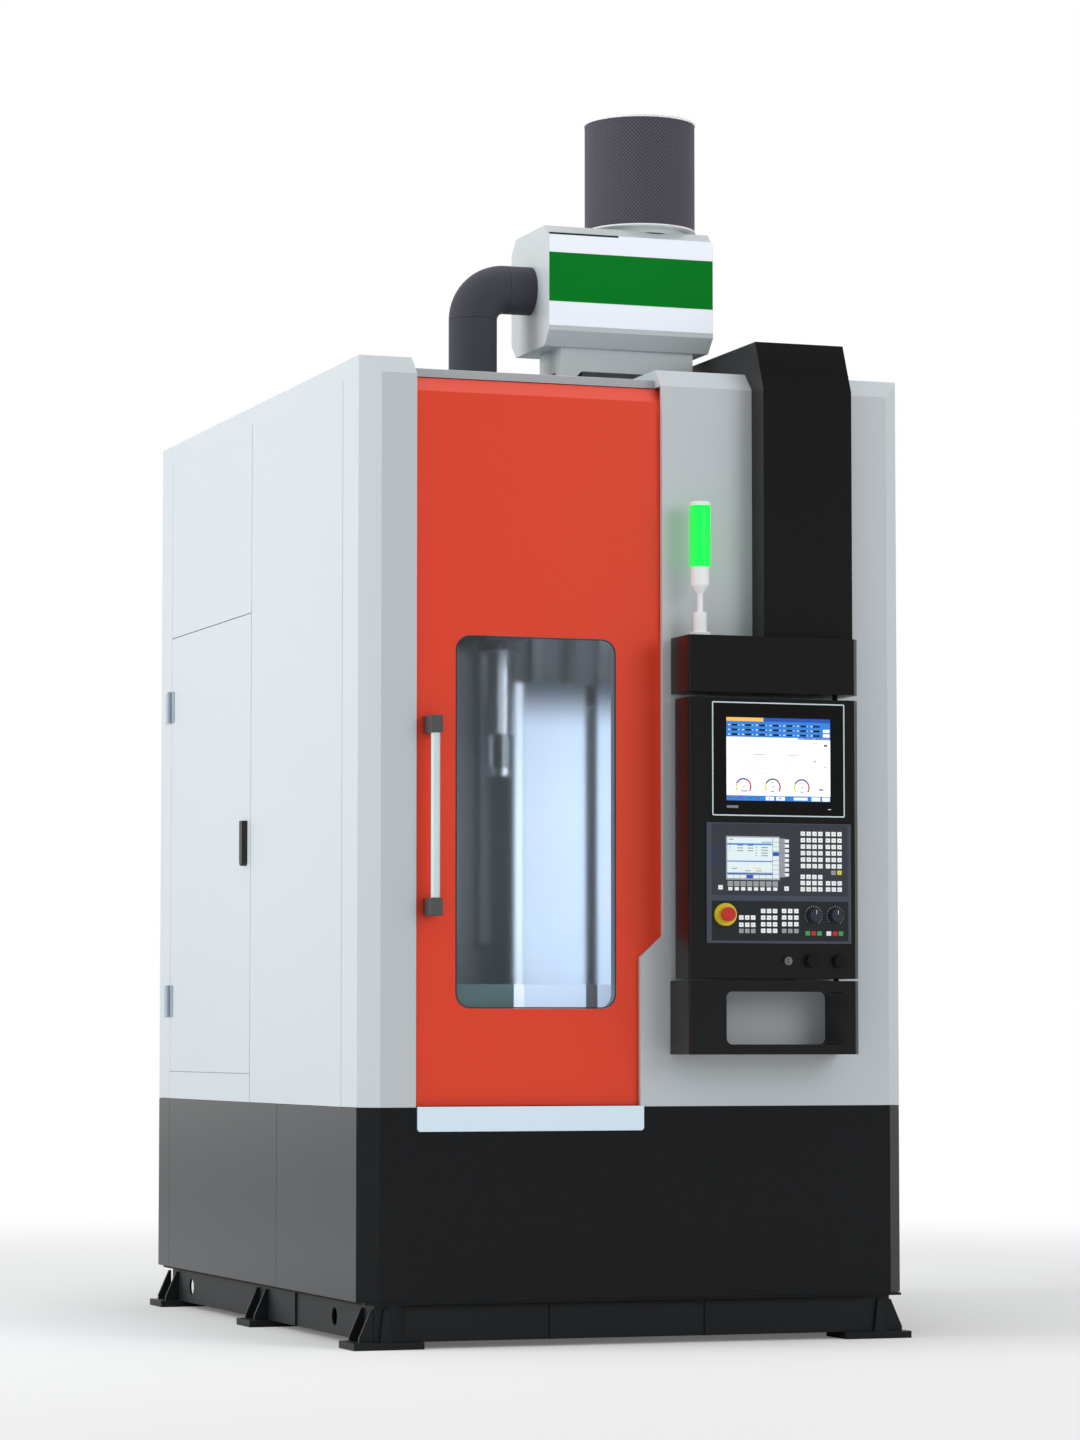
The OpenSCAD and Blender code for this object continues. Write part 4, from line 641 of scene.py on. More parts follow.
def chamber_lamp(name, x, z, width, height, power):
    """An upright strip of light behind the door that shines into the chamber and isn't seen itself."""
    lamp = soft_lamp(name, (x, LAMP_Y, z), (x, 0.0, z), width, power, (0.82, 0.90, 1.0))
    lamp.data.shape = "RECTANGLE"
    lamp.data.size_y = height
    lamp.visible_camera = False
    lamp.visible_transmission = False


chamber_lamp("chamber lamp", 0.07, 1.55, 0.5, 1.6, 7.5)
chamber_lamp("column lamp", -0.42, 1.35, 0.10, 1.1, 0.8)


# %% [markdown]
# The window is a frosted pane in a thin dark gasket. Frosting is roughness on clear glass:
# what stands right behind stays readable and what stands further back melts away.

# %% Window pane
PANE_RADIUS = 0.0477


def round_outline(x0, x1, z0, z1, radius, turns=10):
    """The corners of a rectangle with round corners, in X and Z, anticlockwise from the front."""
    points = []
    left, right, foot, top = x0 + radius, x1 - radius, z0 + radius, z1 - radius
    for cx, cz, start in ((right, top, 0), (left, top, 90), (left, foot, 180), (right, foot, 270)):
        for step in range(turns + 1):
            angle = math.radians(start + 90 * step / turns)
            points.append((cx + radius * math.cos(angle), cz + radius * math.sin(angle)))
    return points


def inset_outline(low, high, inset, radius, turns=10):
    """The round outline of a box seen from the front, drawn in by an inset."""
    return round_outline(low.x + inset, high.x - inset, low.z + inset, high.z - inset, radius, turns)


def pane_from(outline, y_front, y_back, name):
    """A frosted pane in X and Z between two depths, from its outline."""
    shape = bmesh.new()
    front = [shape.verts.new((x, y_front, z)) for x, z in outline]
    back = [shape.verts.new((x, y_back, z)) for x, z in outline]
    shape.faces.new(list(reversed(front)))
    shape.faces.new(back)
    count = len(outline)
    for i in range(count):
        shape.faces.new((front[i], front[(i + 1) % count], back[(i + 1) % count], back[i]))
    bmesh.ops.recalc_face_normals(shape, faces=shape.faces)
    return from_bmesh(name, shape, [frosted])


frosted = material_of("frosted glass", {
    "grain": placed(GRAIN, {"Scale": 900.0, "Depth": 0.5}),
    "tone": placed(TONE, {"Colour": (0.90, 0.95, 1.0, 1.0), "Amount": 0.03, "Scale": 6.0}),
    "bump": new_node("Bump", {"Strength": 0.15, "Distance": 0.0003}),
}, "tone.Colour > shader.Base Color, grain.Height > bump.Height, bump.Normal > shader.Normal",
    {"Transmission Weight": 1.0, "Roughness": 0.17, "IOR": 1.25})
glass_low, glass_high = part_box("door_window")
pane_path = inset_outline(glass_low, glass_high, 0.0, PANE_RADIUS)
pane = pane_from(pane_path, glass_low.y, glass_high.y, "window_pane")
hold(rounded(pane, 0.0008), "front_door", "window_glass", "door_window")


# %% [markdown]
# Geometry Nodes can sweep any profile along any path. This tree takes a closed loop of points, turns it
# into a curve and sweeps a circle along it. The same tree makes the window gasket and the screen's rim.
# Every such tree ends alike: its copies become real geometry and get their finish.

# %% Bead along a loop
def growing(name, inputs, nodes, links):
    """A geometry node tree that ends in real geometry with a finish."""
    inputs = [("Geometry", "Geometry", None), *inputs, ("Finish", "Material", None)]
    nodes = {**nodes, "real": "RealizeInstances", "finish": "SetMaterial"}
    links += ", real.0 > finish.Geometry, start.Finish > finish.Material, finish.Geometry > end.Geometry"
    return node_group(name, "GeometryNodeTree", inputs, [("Geometry", "Geometry")], nodes, links)


def grown(obj, tree, values):
    """Runs a geometry node tree on an object with its inputs set by name, and settles the result."""
    modifier = obj.modifiers.new(tree.name, "NODES")
    modifier.node_group = tree
    for item in tree.interface.items_tree:
        if item.in_out == "INPUT" and item.name in values:
            modifier[item.identifier] = values[item.name]
    return settled(obj)


BEAD = growing("Bead along a loop", [("Radius", "Float", 0.004), ("Sides", "Int", 8)], {
    "curve": "MeshToCurve",
    "ring": "CurvePrimitiveCircle",
    "sweep": "CurveToMesh",
    "smooth": "SetShadeSmooth",
}, """start.Geometry > curve.Mesh, start.Radius > ring.Radius, start.Sides > ring.Resolution,
    curve.Curve > sweep.Curve, ring.Curve > sweep.Profile Curve, sweep.Mesh > smooth.Geometry,
    smooth.Geometry > real.Geometry""")
BEAD_SIDES = 8
BEAD_RADIUS = 0.0022


def bead(name, outline, y, finish):
    """A bead round an outline in X and Z at one depth."""
    count = len(outline)
    edges = [(i, (i + 1) % count) for i in range(count)]
    loop = mesh_object(name, [(x, y, z) for x, z in outline], edges, [])
    return grown(loop, BEAD, {"Radius": BEAD_RADIUS, "Sides": BEAD_SIDES, "Finish": finish})


GASKET_LAP = 0.0025
GASKET_RADIUS = 0.0455
GASKET_DEPTH = 0.0015
door_low, door_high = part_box("front_door_panel")
gasket_path = inset_outline(glass_low, glass_high, GASKET_LAP, GASKET_RADIUS)
gasket = bead("window_gasket", gasket_path, door_low.y + GASKET_DEPTH, iron_paint)
hold(gasket, "front_door", "black_plastic")
print("window", [round(v, 3) for v in glass_low], "to", [round(v, 3) for v in glass_high])


# %% [markdown]
# The door's handle is a satin tube between two plastic brackets. Its faces get their finish by their
# height.

# %% Door handle
on_tube = where(z=(1.371, 1.874))
softened("door_handle", bracket_plastic, "aluminium", 0.0025, None, 3, [(bar_aluminium, on_tube)])


# %% [markdown]
# The operator's screen is a sheet of black glass set into a black bezel with a thin bright rim. What it
# shows is a plain working page: a blue head with value boxes, a white field, three dials and a blue foot.
# Each colour field is a thin plate of its own on the glass, because plates keep sharp edges at any zoom.

# %% Thin plates
GLASS_Y = -1433.1
FACE_Y = -1434.0
LAYER = 0.12


def bars(name, blocks, finish):
    """One mesh of upright blocks, each given as x0, x1, y0, y1, z0, z1 in millimetres."""
    corners = ((0, 2, 4), (1, 2, 4), (1, 3, 4), (0, 3, 4), (0, 2, 5), (1, 2, 5), (1, 3, 5), (0, 3, 5))
    sides = ((0, 3, 2, 1), (4, 5, 6, 7), (0, 1, 5, 4), (1, 2, 6, 5), (2, 3, 7, 6), (3, 0, 4, 7))
    vertices = []
    faces = []
    for block in blocks:
        k = len(vertices)
        vertices += [(block[i] * MM, block[j] * MM, block[m] * MM) for i, j, m in corners]
        faces += [tuple(k + corner for corner in side) for side in sides]
    return mesh_object(name, vertices, [], faces, finish)


def plates(name, rects, y_front, y_back, finish):
    """One mesh of upright plates, each given as x0, x1, z0, z1, between two depths, in millimetres."""
    return bars(name, [(x0, x1, y_front, y_back, z0, z1) for x0, x1, z0, z1 in rects], finish)


def grid_rects(x0, z0, columns, rows, pitch_x, pitch_z, width, height):
    """Rectangles in rows and columns, from the lower left one."""
    return [(x0 + i * pitch_x, x0 + i * pitch_x + width, z0 + j * pitch_z, z0 + j * pitch_z + height)
            for j in range(rows) for i in range(columns)]


def show(name, rects, layer, finish, base_y=GLASS_Y, slot_name="black_plastic"):
    """Plates that lie a number of thin layers in front of a face on the station."""
    obj = plates(name, rects, base_y - (layer + 1) * LAYER, base_y - layer * LAYER, finish)
    return hold(obj, "station", slot_name)


# %% [markdown]
# The colours of the screens glow a little, as lit displays do. The glass and the bezel are plain gloss black.

# %% Screen colours
screen_white = glowing("screen white", (244, 247, 250), 0.42)
screen_blue = glowing("screen blue", (40, 122, 206), 0.38)
screen_deep = glowing("screen deep blue", (14, 78, 176), 0.35)
screen_sand = glowing("screen sand", (240, 186, 84), 0.38)
screen_dark = glowing("screen dark", (14, 18, 22), 0.1)
screen_grey = glowing("screen grey", (96, 100, 106), 0.1)
screen_mauve = glowing("screen mauve", (74, 44, 160), 0.25)
screen_yellow = glowing("screen yellow", (220, 210, 30), 0.35)
screen_red = glowing("screen red", (196, 24, 44), 0.25)
screen_green = glowing("screen green", (30, 96, 44), 0.2)
screen_pale = glowing("screen pale", (212, 227, 229), 0.36)
black_glass = coated("black screen glass", (9, 9, 10), 0.10, 0.05, 4.0, 1500.0, 0.02, 0.02, 0.5)
bezel_black = coated("gloss black bezel", (11, 11, 12), 0.30, 0.06, 4.0, 900.0, 0.1, 0.02, 0.3)
print("screen colours ready")


# %% [markdown]
# The bezel is the CAD solid with soft edges. The bright rim is a thin bead round its front edge,
# made with the same tree as the window gasket.

# %% Screen bezel and glass
RIM_INSET = 0.0015
RIM_RADIUS = 0.003
GLASS_THICK = 0.9
SCREEN = (220.4, 570.6, 1676.4, 1936.6)

softened("display_unit", bezel_black, "black_plastic")
low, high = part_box("display_unit")
rim_path = inset_outline(low, high, RIM_INSET, RIM_RADIUS, 4)
hold(bead("screen_rim", rim_path, FACE_Y * MM, bar_aluminium), "station", "aluminium")
glass = plates("screen_glass", [SCREEN], GLASS_Y, GLASS_Y + GLASS_THICK, black_glass)
hold(glass, "station", "black_plastic")

# %% [markdown]
# The page is laid out in millimetres. Its small values, marks and lines are plain bars that mean nothing.

# %% Working page
x0, x1, z0, z1 = 221.5, 569.5, 1677.5, 1935.5
HEAD, TITLE, FOOT, TAB = 1875.0, 1924.0, 1693.5, 345.0
values = grid_rects(239, 1880, 6, 3, 46.0, 14.6, 19.0, 5.6)
values += grid_rects(512, 1880, 1, 3, 46.0, 14.6, 22.0, 5.6)
marks = grid_rects(228, 1881, 7, 3, 46.0, 14.6, 6.0, 3.6)
marks += grid_rects(261, 1881.5, 6, 3, 46.0, 14.6, 3.5, 2.6)
buttons = [
    (545.5, 567.5, 1893.0, 1903.0), (545.5, 567.5, 1879.0, 1889.0), (352, 380, 1679.5, 1691.0),
    (387, 416, 1679.5, 1691.0), (446, 492, 1681.0, 1689.5), (506, 535, 1679.0, 1691.0),
    (542, 567, 1679.0, 1691.0),
]
lines = [
    (268, 302, 1858.6, 1859.6), (388, 412, 1857.6, 1858.6), (308, 352, 1820.4, 1821.6),
    (424, 468, 1819.4, 1820.6), (290, 326, 1801.0, 1801.8), (404, 432, 1800.4, 1801.2),
    (318, 364, 1763.4, 1764.4), (442, 486, 1762.6, 1763.6), (496, 530, 1860.0, 1861.0),
    (548, 560, 1850.0, 1856.0), (516, 520, 1800.0, 1806.0), (546, 560, 1784.0, 1785.4),
    (530, 546, 1713, 1717), (364, 368, 1683, 1688), (398, 404, 1683, 1688), (250, 262, 1684, 1686),
    (296, 304, 1683, 1687), (322, 330, 1683, 1687),
]
show("page_white", [(x0, x1, FOOT, HEAD)], 0, screen_white)
show("page_head", [(x0, x1, HEAD, TITLE), (x0, x1, z0, FOOT)], 0, screen_blue)
show("page_title", [(TAB, x1, TITLE, z1), (460.0, x1, HEAD - 5.0, HEAD)], 0, screen_deep)
show("page_tab", [(x0, TAB, TITLE, z1)], 0, screen_sand)
show("page_values", values, 1, screen_dark)
show("page_marks", marks, 1, screen_pale)
show("page_buttons", buttons, 1, screen_white)
show("page_lines", lines, 1, screen_grey)
show("page_warnings", [(232, 242, 1685.0, 1688.5), (262, 272, 1685.0, 1688.5)], 2, screen_red)


# %% [markdown]
# A dial is three coloured arcs and a short hand. Each arc is a flat ring sector, built from its two radii.

# %% Dials
DIAL_INNER, DIAL_OUTER = 22.0, 26.5
DIALS = [(278, 1721, screen_mauve), (376, 1721.5, screen_green), (473, 1721, screen_mauve)]
ARC_FRONT = (GLASS_Y - 2 * LAYER) * MM


def arc_band(name, x, z, inner, outer, start, stop, finish, steps):
    """A flat ring sector in front of the glass, angles in degrees from +X towards +Z."""
    vertices = []
    faces = []
    for i in range(steps + 1):
        angle = math.radians(start + (stop - start) * i / steps)
        for radius in (inner, outer):
            for y in (ARC_FRONT, ARC_FRONT + LAYER * MM):
                vertices.append(((x + radius * math.cos(angle)) * MM, y, (z + radius * math.sin(angle)) * MM))
    for i in range(steps):
        a, b = 4 * i, 4 * i + 4
        faces += [(a, a + 2, b + 2, b), (a + 1, b + 1, b + 3, a + 3)]
        faces += [(a, b, b + 1, a + 1), (a + 2, a + 3, b + 3, b + 2)]
    hold(mesh_object(name, vertices, [], faces, finish), "station", "black_plastic")


for number, (x, z, top_colour) in enumerate(DIALS):
    arc_band("dial%d_low" % number, x, z, DIAL_INNER, DIAL_OUTER, 155, 215, screen_yellow, 14)
    arc_band("dial%d_mid" % number, x, z, DIAL_INNER, DIAL_OUTER, 42, 155, top_colour, 20)
    arc_band("dial%d_high" % number, x, z, DIAL_INNER, DIAL_OUTER, -35, 42, screen_red, 14)
    arc_band("dial%d_hand" % number, x - 4, z - 4, 0.5, 10.0, 30, 50, screen_grey, 2)
readings = [(268, 292, 1706, 1708.4), (370, 380, 1706, 1708.4), (468, 480, 1706, 1708)]
readings += [(270, 274, 1734, 1736), (372, 376, 1733, 1736), (470, 473, 1732, 1735)]
show("dial_readings", readings, 1, screen_dark)
show("screen_tag", [(222, 260, 1654, 1662)], 0, brushed_aluminium, FACE_Y, "aluminium")
show("screen_lamp", [(561, 571, 1653, 1655)], 0, screen_pale, FACE_Y)
print("screen page drawn")


# %% [markdown]
# The control panel is one moulded plate. Its rim stays blue grey while two large fields are darker,
# so the fields are thin plates laid on it. The stop button's yellow collar is part of the same CAD solid
# and gets its colour by the place of its faces, which stand in front of the panel.

# %% Control panel plate
yellow_plastic = coated("yellow moulded plastic", (226, 204, 40), 0.35, 0.05, 9.0, 900.0, 0.2, 0.04)
field_film = coated("dark grey control film", (58, 63, 71), 0.42, 0.05, 8.0, 1200.0, 0.25, 0.03, 0.35)
low_film = coated("darker control film", (38, 42, 46), 0.42, 0.05, 8.0, 1200.0, 0.25, 0.03, 0.35)
flap_film = coated("blue grey flap", (56, 60, 82), 0.45, 0.05, 9.0, 900.0, 0.3, 0.03, 0.35)
# The white key film glows a little; that glow is painted light, as the keys are no lamps.
key_white_painted_glow = glowing("white key film", (246, 248, 250), 0.12, 0.4)
key_grey = coated("grey key film", (168, 171, 175), 0.42, 0.05, 20.0, 1200.0, 0.15, 0.02)
key_yellow = coated("yellow key film", (236, 232, 60), 0.40, 0.03, 20.0, 1200.0, 0.15, 0.02)
silver_rim = coated("silver screen frame", (176, 182, 188), 0.35, 0.05, 9.0, 900.0, 0.1, 0.02)
mark_dark = coated("printed dark mark", (104, 108, 114), 0.5, 0.05, 20.0, 900.0, 0.1, 0.0)
mark_white = coated("printed white mark", (232, 236, 238), 0.5, 0.03, 20.0, 900.0, 0.1, 0.0)

on_collar = where(y=(-FAR, -1.4345))
softened("cnc_panel", rim_plastic, "panel_grey", special=[(yellow_plastic, on_collar)])
low_keys = grid_rects(223, 1437, 3, 1, 21.2, 1, 19.5, 10) + grid_rects(310, 1437, 3, 1, 21.2, 1, 19.5, 10)
rules = [(223, 373, 1488, 1491), (223, 373, 1449, 1452), (375, 395, 1507, 1519), (287, 308, 1437, 1447)]
figures = grid_rects(256, 1521, 2, 3, 34, 8.4, 20, 2.2) + grid_rects(230, 1522, 1, 3, 34, 8.4, 3, 2.2)
figures += grid_rects(318, 1506, 1, 4, 34, 8.4, 4, 2.2) + grid_rects(336, 1506, 1, 4, 34, 8.4, 22, 2.2)
figures += [(237, 256, 1466, 1468), (282, 300, 1459, 1461), (318, 338, 1459, 1461)]
figures += [(228, 244, 1556, 1558), (338, 370, 1548, 1550)]
# The fields of the panel and of its small display, with the layer that each lies on
PANEL_FIELDS = [
    ("upper_field", [(171, 626, 1384, 1606)], 0, field_film),
    ("lower_field", [(171, 628, 1244, 1367)], 0, low_film),
    ("card_flap", [(171, 213, 1468, 1541)], 1, flap_film),
    ("lcd_frame", [(219, 398, 1432, 1567)], 1, silver_rim),
    ("lcd_page", [(223, 373, 1455, 1563)], 2, screen_pale),
    ("lcd_side", grid_rects(375, 1437, 1, 9, 1, 14.2, 20, 12.4), 2, screen_pale),
    ("lcd_rules", rules, 3, screen_deep),
    ("lcd_low", low_keys, 2, screen_pale),
    ("lcd_figures", figures, 3, screen_grey),
    ("lcd_bar", [(308, 336, 1467, 1470)], 3, screen_sand),
    ("lcd_stripe", [(223, 373, 1540, 1545)], 3, screen_blue),
]
for name, rects, layer, finish in PANEL_FIELDS:
    show(name, rects, layer, finish, FACE_Y)
print("control panel plate dressed")


# %% [markdown]
# The film keys repeat in rows and columns, which is work for Geometry Nodes: a grid gives the points,
# one small moulded key is put on each of them, and the copies become real geometry.
# The key itself is a low pad with a soft edge and a printed mark in its middle.

# %% Copies in rows and columns
GRID_INPUTS = [("Shape", "Object", None), ("Columns", "Int", 3), ("Rows", "Int", 3),
               ("Column pitch", "Float", 0.02), ("Row pitch", "Float", 0.02)]
COPIES = growing("Copies in rows and columns", GRID_INPUTS, {
    "line": "MeshLine",
    "offset": "ShaderNodeCombineXYZ",
    "rows": "MeshLine",
    "row_offset": "ShaderNodeCombineXYZ",
    "row_copies": "InstanceOnPoints",
    "real_rows": "RealizeInstances",
    "points": "MeshToPoints",
    "shape": "ObjectInfo",
    "copies": "InstanceOnPoints",
}, """start.Columns > line.Count, start.Column pitch > offset.X, offset > line.Offset,
    start.Rows > rows.Count, start.Row pitch > row_offset.Z, row_offset > rows.Offset,
    rows > row_copies.Points, line > row_copies.Instance, row_copies > real_rows.Geometry,
    real_rows > points.Mesh, start.Shape > shape.Object, points > copies.Points,
    shape.Geometry > copies.Instance, copies > real.Geometry""")


def grown_at(name, tree, origin, values):
    """What a tree grows, moved to its place in metres, as one plain mesh."""
    obj = grown(mesh_object(name, [(0, 0, 0)], [], []), tree, values)
    obj.data.transform(Matrix.Translation(origin))
    return obj


def copies(name, shape, x, z, columns, rows, pitch_x, pitch_z, finish):
    """Copies of a small shape on the panel in rows and columns, from its lower left place, in millimetres."""
    values = {"Shape": shape, "Columns": columns, "Rows": rows, "Finish": finish,
              "Column pitch": pitch_x * MM, "Row pitch": pitch_z * MM}
    return grown_at(name, COPIES, Vector((x * MM, (FACE_Y - LAYER) * MM, z * MM)), values)


def gather(name, parts):
    """Several objects' meshes joined into one object, with their finishes."""
    shape = bmesh.new()
    finishes = []
    for part in parts:
        start = len(shape.faces)
        shape.from_mesh(part.data)
        shape.faces.ensure_lookup_table()
        for face in shape.faces[start:]:
            face.material_index += len(finishes)
        finishes += list(part.data.materials)
        bpy.data.objects.remove(part)
    return from_bmesh(name, shape, finishes)


def soft_pad(name, width, height, thick, radius):
    """A small pad that stands on Y = 0 towards the operator, centred on X and Z, with soft edges."""
    pad = plates(name, [(-width / 2, width / 2, -height / 2, height / 2)], -thick, 0.0, key_white_painted_glow)
    return rounded(pad, radius * MM)


key_pad = soft_pad("key_pad", 15.0, 13.5, 1.3, 0.9)
key_mark = soft_pad("key_mark", 3.0, 2.4, 1.42, 0.1)
side_pad = soft_pad("side_pad", 14.0, 10.5, 1.3, 0.9)
shade_pad = soft_pad("shade_pad", 18.0, 16.0, 0.7, 0.3)

# %% [markdown]
# Fourteen fields of keys cover the panel, and two rows of soft keys frame its small display.

# %% Film keys
# Each field: the middle of its lower left key in millimetres, its columns, rows, pitches and finish
KEY_FIELDS = [
    (475.5, 1477.0, 4, 6, 19.6, 20.1, key_white_painted_glow), (559.5, 1477.0, 3, 6, 19.6, 20.1, key_white_painted_glow),
    (474.5, 1405.0, 4, 3, 19.6, 19.2, key_white_painted_glow), (559.5, 1405.0, 3, 2, 19.6, 19.2, key_white_painted_glow),
    (268.5, 1293.0, 3, 2, 19.8, 22.4, key_white_painted_glow), (341.5, 1275.0, 3, 1, 19.8, 19.6, key_white_painted_glow),
    (341.5, 1295.0, 3, 3, 19.8, 20.6, key_white_painted_glow), (411.5, 1296.0, 3, 3, 20.4, 20.4, key_white_painted_glow),
    (268.5, 1274.0, 3, 1, 19.8, 19.6, key_grey), (411.5, 1275.0, 3, 1, 20.4, 19.6, key_grey),
    (200.0, 1408.0, 1, 1, 19.6, 19.6, key_white_painted_glow), (420.0, 1406.0, 1, 1, 19.6, 19.6, key_white_painted_glow),
    (578.0, 1457.0, 1, 1, 19.6, 19.6, key_grey), (598.0, 1457.5, 1, 1, 19.6, 19.6, key_yellow),
]
# The keys along the small display's foot and right side, each with a grey field beside it
SOFT_KEYS = [
    ("soft_low", side_pad, 232.5, 1404.0, 8, 1, 21.4, 20.0, key_white_painted_glow),
    ("soft_low_shade", shade_pad, 232.5, 1420.0, 8, 1, 21.4, 20.0, key_grey),
    ("soft_side", side_pad, 421.5, 1449.0, 1, 8, 20.0, 14.9, key_white_painted_glow),
    ("soft_side_shade", shade_pad, 406.0, 1449.0, 1, 8, 20.0, 14.9, key_grey),
]
parts = []
for number, (*layout, finish) in enumerate(KEY_FIELDS):
    parts.append(copies("keys%d" % number, key_pad, *layout, finish))
    parts.append(copies("marks%d" % number, key_mark, *layout, mark_dark))
parts += [copies(*row) for row in SOFT_KEYS]
film_keys = hold(gather("film_keys", parts), "station", "key_film", "panel_keys")
for pattern in (key_pad, key_mark, side_pad, shade_pad):
    bpy.data.objects.remove(pattern)
show("key_labels", [(334, 344, 1565.0, 1566.0)], 1, mark_white, FACE_Y)
print("film keys:", len(film_keys.data.polygons), "faces")


# %% [markdown]
# Ticks round a dial, screws round a flange and ribs round a cap are the same job: copies on a ring. This
# second tree puts copies of a small shape on a circle in the operator's plane, each turned to face
# outward.

# %% Copies on a ring
RING_INPUTS = [("Shape", "Object", None), ("Count", "Int", 20), ("Radius", "Float", 0.03),
               ("Start", "Float", 0.0), ("Sweep", "Float", 6.28318)]
RING = growing("Copies on a ring", RING_INPUTS, {
    "line": "MeshLine",
    "points": "MeshToPoints",
    "index": "InputIndex",
    "part": maths("DIVIDE"),
    "angle": maths("MULTIPLY_ADD"),
    "across": maths("COSINE"),
    "up": maths("SINE"),
    "place": "ShaderNodeCombineXYZ",
    "scaled": vector_maths("SCALE"),
    "moved": "SetPosition",
    "turn_angle": maths("MULTIPLY", {1: -1.0}),
    "turn": "ShaderNodeCombineXYZ",
    "shape": "ObjectInfo",
    "copied": "InstanceOnPoints",
}, """start.Count > line.Count, line > points.Mesh, index > part, start.Count > part.1, part > angle,
    start.Sweep > angle.1, start.Start > angle.2, angle > across, angle > up, across > place.X,
    up > place.Z, place > scaled, start.Radius > scaled.Scale, points > moved.Geometry,
    scaled > moved.Position, angle > turn_angle, turn_angle > turn.Y, start.Shape > shape.Object,
    moved > copied.Points, shape.Geometry > copied.Instance, turn > copied.Rotation,
    copied > real.Geometry""")


# %% [markdown]
# The stop button is a red mushroom on the yellow collar. The two override knobs turn inside rings of
# printed ticks, and each has a white line that shows its setting. Below them sit the key switch and two
# ribbed port caps.

# %% Stop button, knobs and caps
TICK_START, TICK_SWEEP = math.radians(-55.0), math.radians(290.0)
TICK_RING = {"Count": 18, "Radius": 0.0285, "Start": TICK_START, "Sweep": TICK_SWEEP, "Finish": mark_white}
TICK_THICK, LINE_THICK = 0.4, 0.3
LINE_HALF, LINE_FROM, LINE_TO = 0.9, 3.0, 16.0
red_plastic = coated("red moulded plastic", (206, 40, 44), 0.30, 0.04, 20.0, 900.0, 0.15, 0.03, 0.5)
green_plastic = coated("green moulded plastic", (70, 168, 96), 0.35, 0.04, 20.0, 900.0, 0.15, 0.03)
white_plastic = coated("white moulded plastic", (250, 252, 252), 0.35, 0.03, 12.0, 900.0, 0.15, 0.03)
knob_plastic = coated("dark blue grey knob plastic", (44, 50, 64), 0.42, 0.08, 20.0, 900.0, 0.3, 0.04)
chrome = bare_metal("chrome plate", (206, 208, 210), 0.16, (90.0, 90.0, 90.0), 0.05)

softened("estop_button", red_plastic, "red_plastic", 0.0024, None, 3)
softened("cycle_start_key", green_plastic, "green_plastic")
softened("cycle_stop_key", red_plastic, "red_plastic")
softened("coolant_key", green_plastic, "green_plastic")
softened("reset_key", white_plastic, "white_plastic")
softened("feed_stop_key", red_plastic, "red_plastic")
softened("feed_start_key", green_plastic, "green_plastic")
softened("key_switch", chrome, "chrome")
tick_shape = in_scene(plates("tick_shape", [(-1.7, 1.7, -0.5, 0.5)], -TICK_THICK, 0.0, mark_white))
parts = []
for node in ("left_override_knob", "right_override_knob"):
    (x0, y0, z0), (x1, y1, z1) = box_mm(node)
    x, z = (x0 + x1) / 2, (z0 + z1) / 2
    softened(node, knob_plastic, "black_plastic", 0.0025, None, 3)
    dial_place = Vector((x * MM, (FACE_Y - LAYER) * MM, z * MM))
    parts.append(grown_at(node + "_ticks", RING, dial_place, {"Shape": tick_shape, **TICK_RING}))
    mark = (x - LINE_HALF, x + LINE_HALF, z + LINE_FROM, z + LINE_TO)
    line = plates(node + "_line", [mark], y0 - LINE_THICK, y0, mark_white)
    hold(line, frame["nodes"][node]["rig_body"], "white_plastic")
hold(gather("dial_ticks", parts), "station", "white_plastic")
bpy.data.objects.remove(tick_shape)
for node in ("left_port_cap", "right_port_cap"):
    softened(node, rubber, "black_plastic", 0.0010)
print("stop button, knobs and caps dressed")

# %% [markdown]
# The signal tower stands on a white turned foot. Its lens is a plain lit green cylinder with a white cap.

# %% Signal tower
green_glow = glowing("lit green lens", (14, 250, 84), 0.42, 0.3)
softened("signal_tower", white_plastic, "white_plastic", 0.0020, None, 3)
softened("tower_lens", green_glow, "green_lens")
print("tower dressed")


# %% [markdown]
# The filter drum on the purifier is woven mesh between two white discs. The weave is an effect of its own:
# two crossed waves darken the gaps between the wires and raise the wires a little.

# %% Woven mesh
WEAVE_INPUTS = [("Wire", "Color", (0.1, 0.1, 0.12, 1)), ("Gap", "Color", (0.03, 0.03, 0.04, 1)),
                ("Centre", "Vector", (0.0, 0.0, 0.0)),
                ("Wires round", "Float", 92.0), ("Wires up", "Float", 500.0)]
WEAVE = effect("Woven mesh", WEAVE_INPUTS, [("Colour", "Color"), ("Height", "Float")], {
    "coords": "TexCoord",
    "centred": vector_maths("SUBTRACT"),
    "split": "SeparateXYZ",
    "angle": maths("ARCTAN2"),
    "around": maths("MULTIPLY"),
    "height": maths("MULTIPLY"),
    "wobble": new_node("TexNoise", {"Scale": 14.0, "Detail": 2.0}),
    "shifted": maths("MULTIPLY_ADD", {1: 9.0}),
    "rising": maths("ADD"),
    "falling": maths("SUBTRACT"),
    "first": maths("SINE"),
    "second": maths("SINE"),
    "wires": maths("MAXIMUM"),
    "level": new_node("MapRange", {"From Min": -1.0, "From Max": 1.0}),
    "mix": new_node("Mix", data_type="RGBA"),
}, """coords.Object > centred, start.Centre > centred.1, centred > split, split.Y > angle,
    split.X > angle.1, angle > around, start.Wires round > around.1, split.Z > height,
    start.Wires up > height.1, coords.Object > wobble.Vector, wobble > shifted, height > shifted.2,
    around > rising, shifted > rising.1, around > falling, shifted > falling.1, rising > first,
    falling > second, first > wires, second > wires.1, wires > level.Value, level.Result > mix.Factor,
    start.Gap > mix.A, start.Wire > mix.B, mix.Result > end.Colour, level.Result > end.Height""")

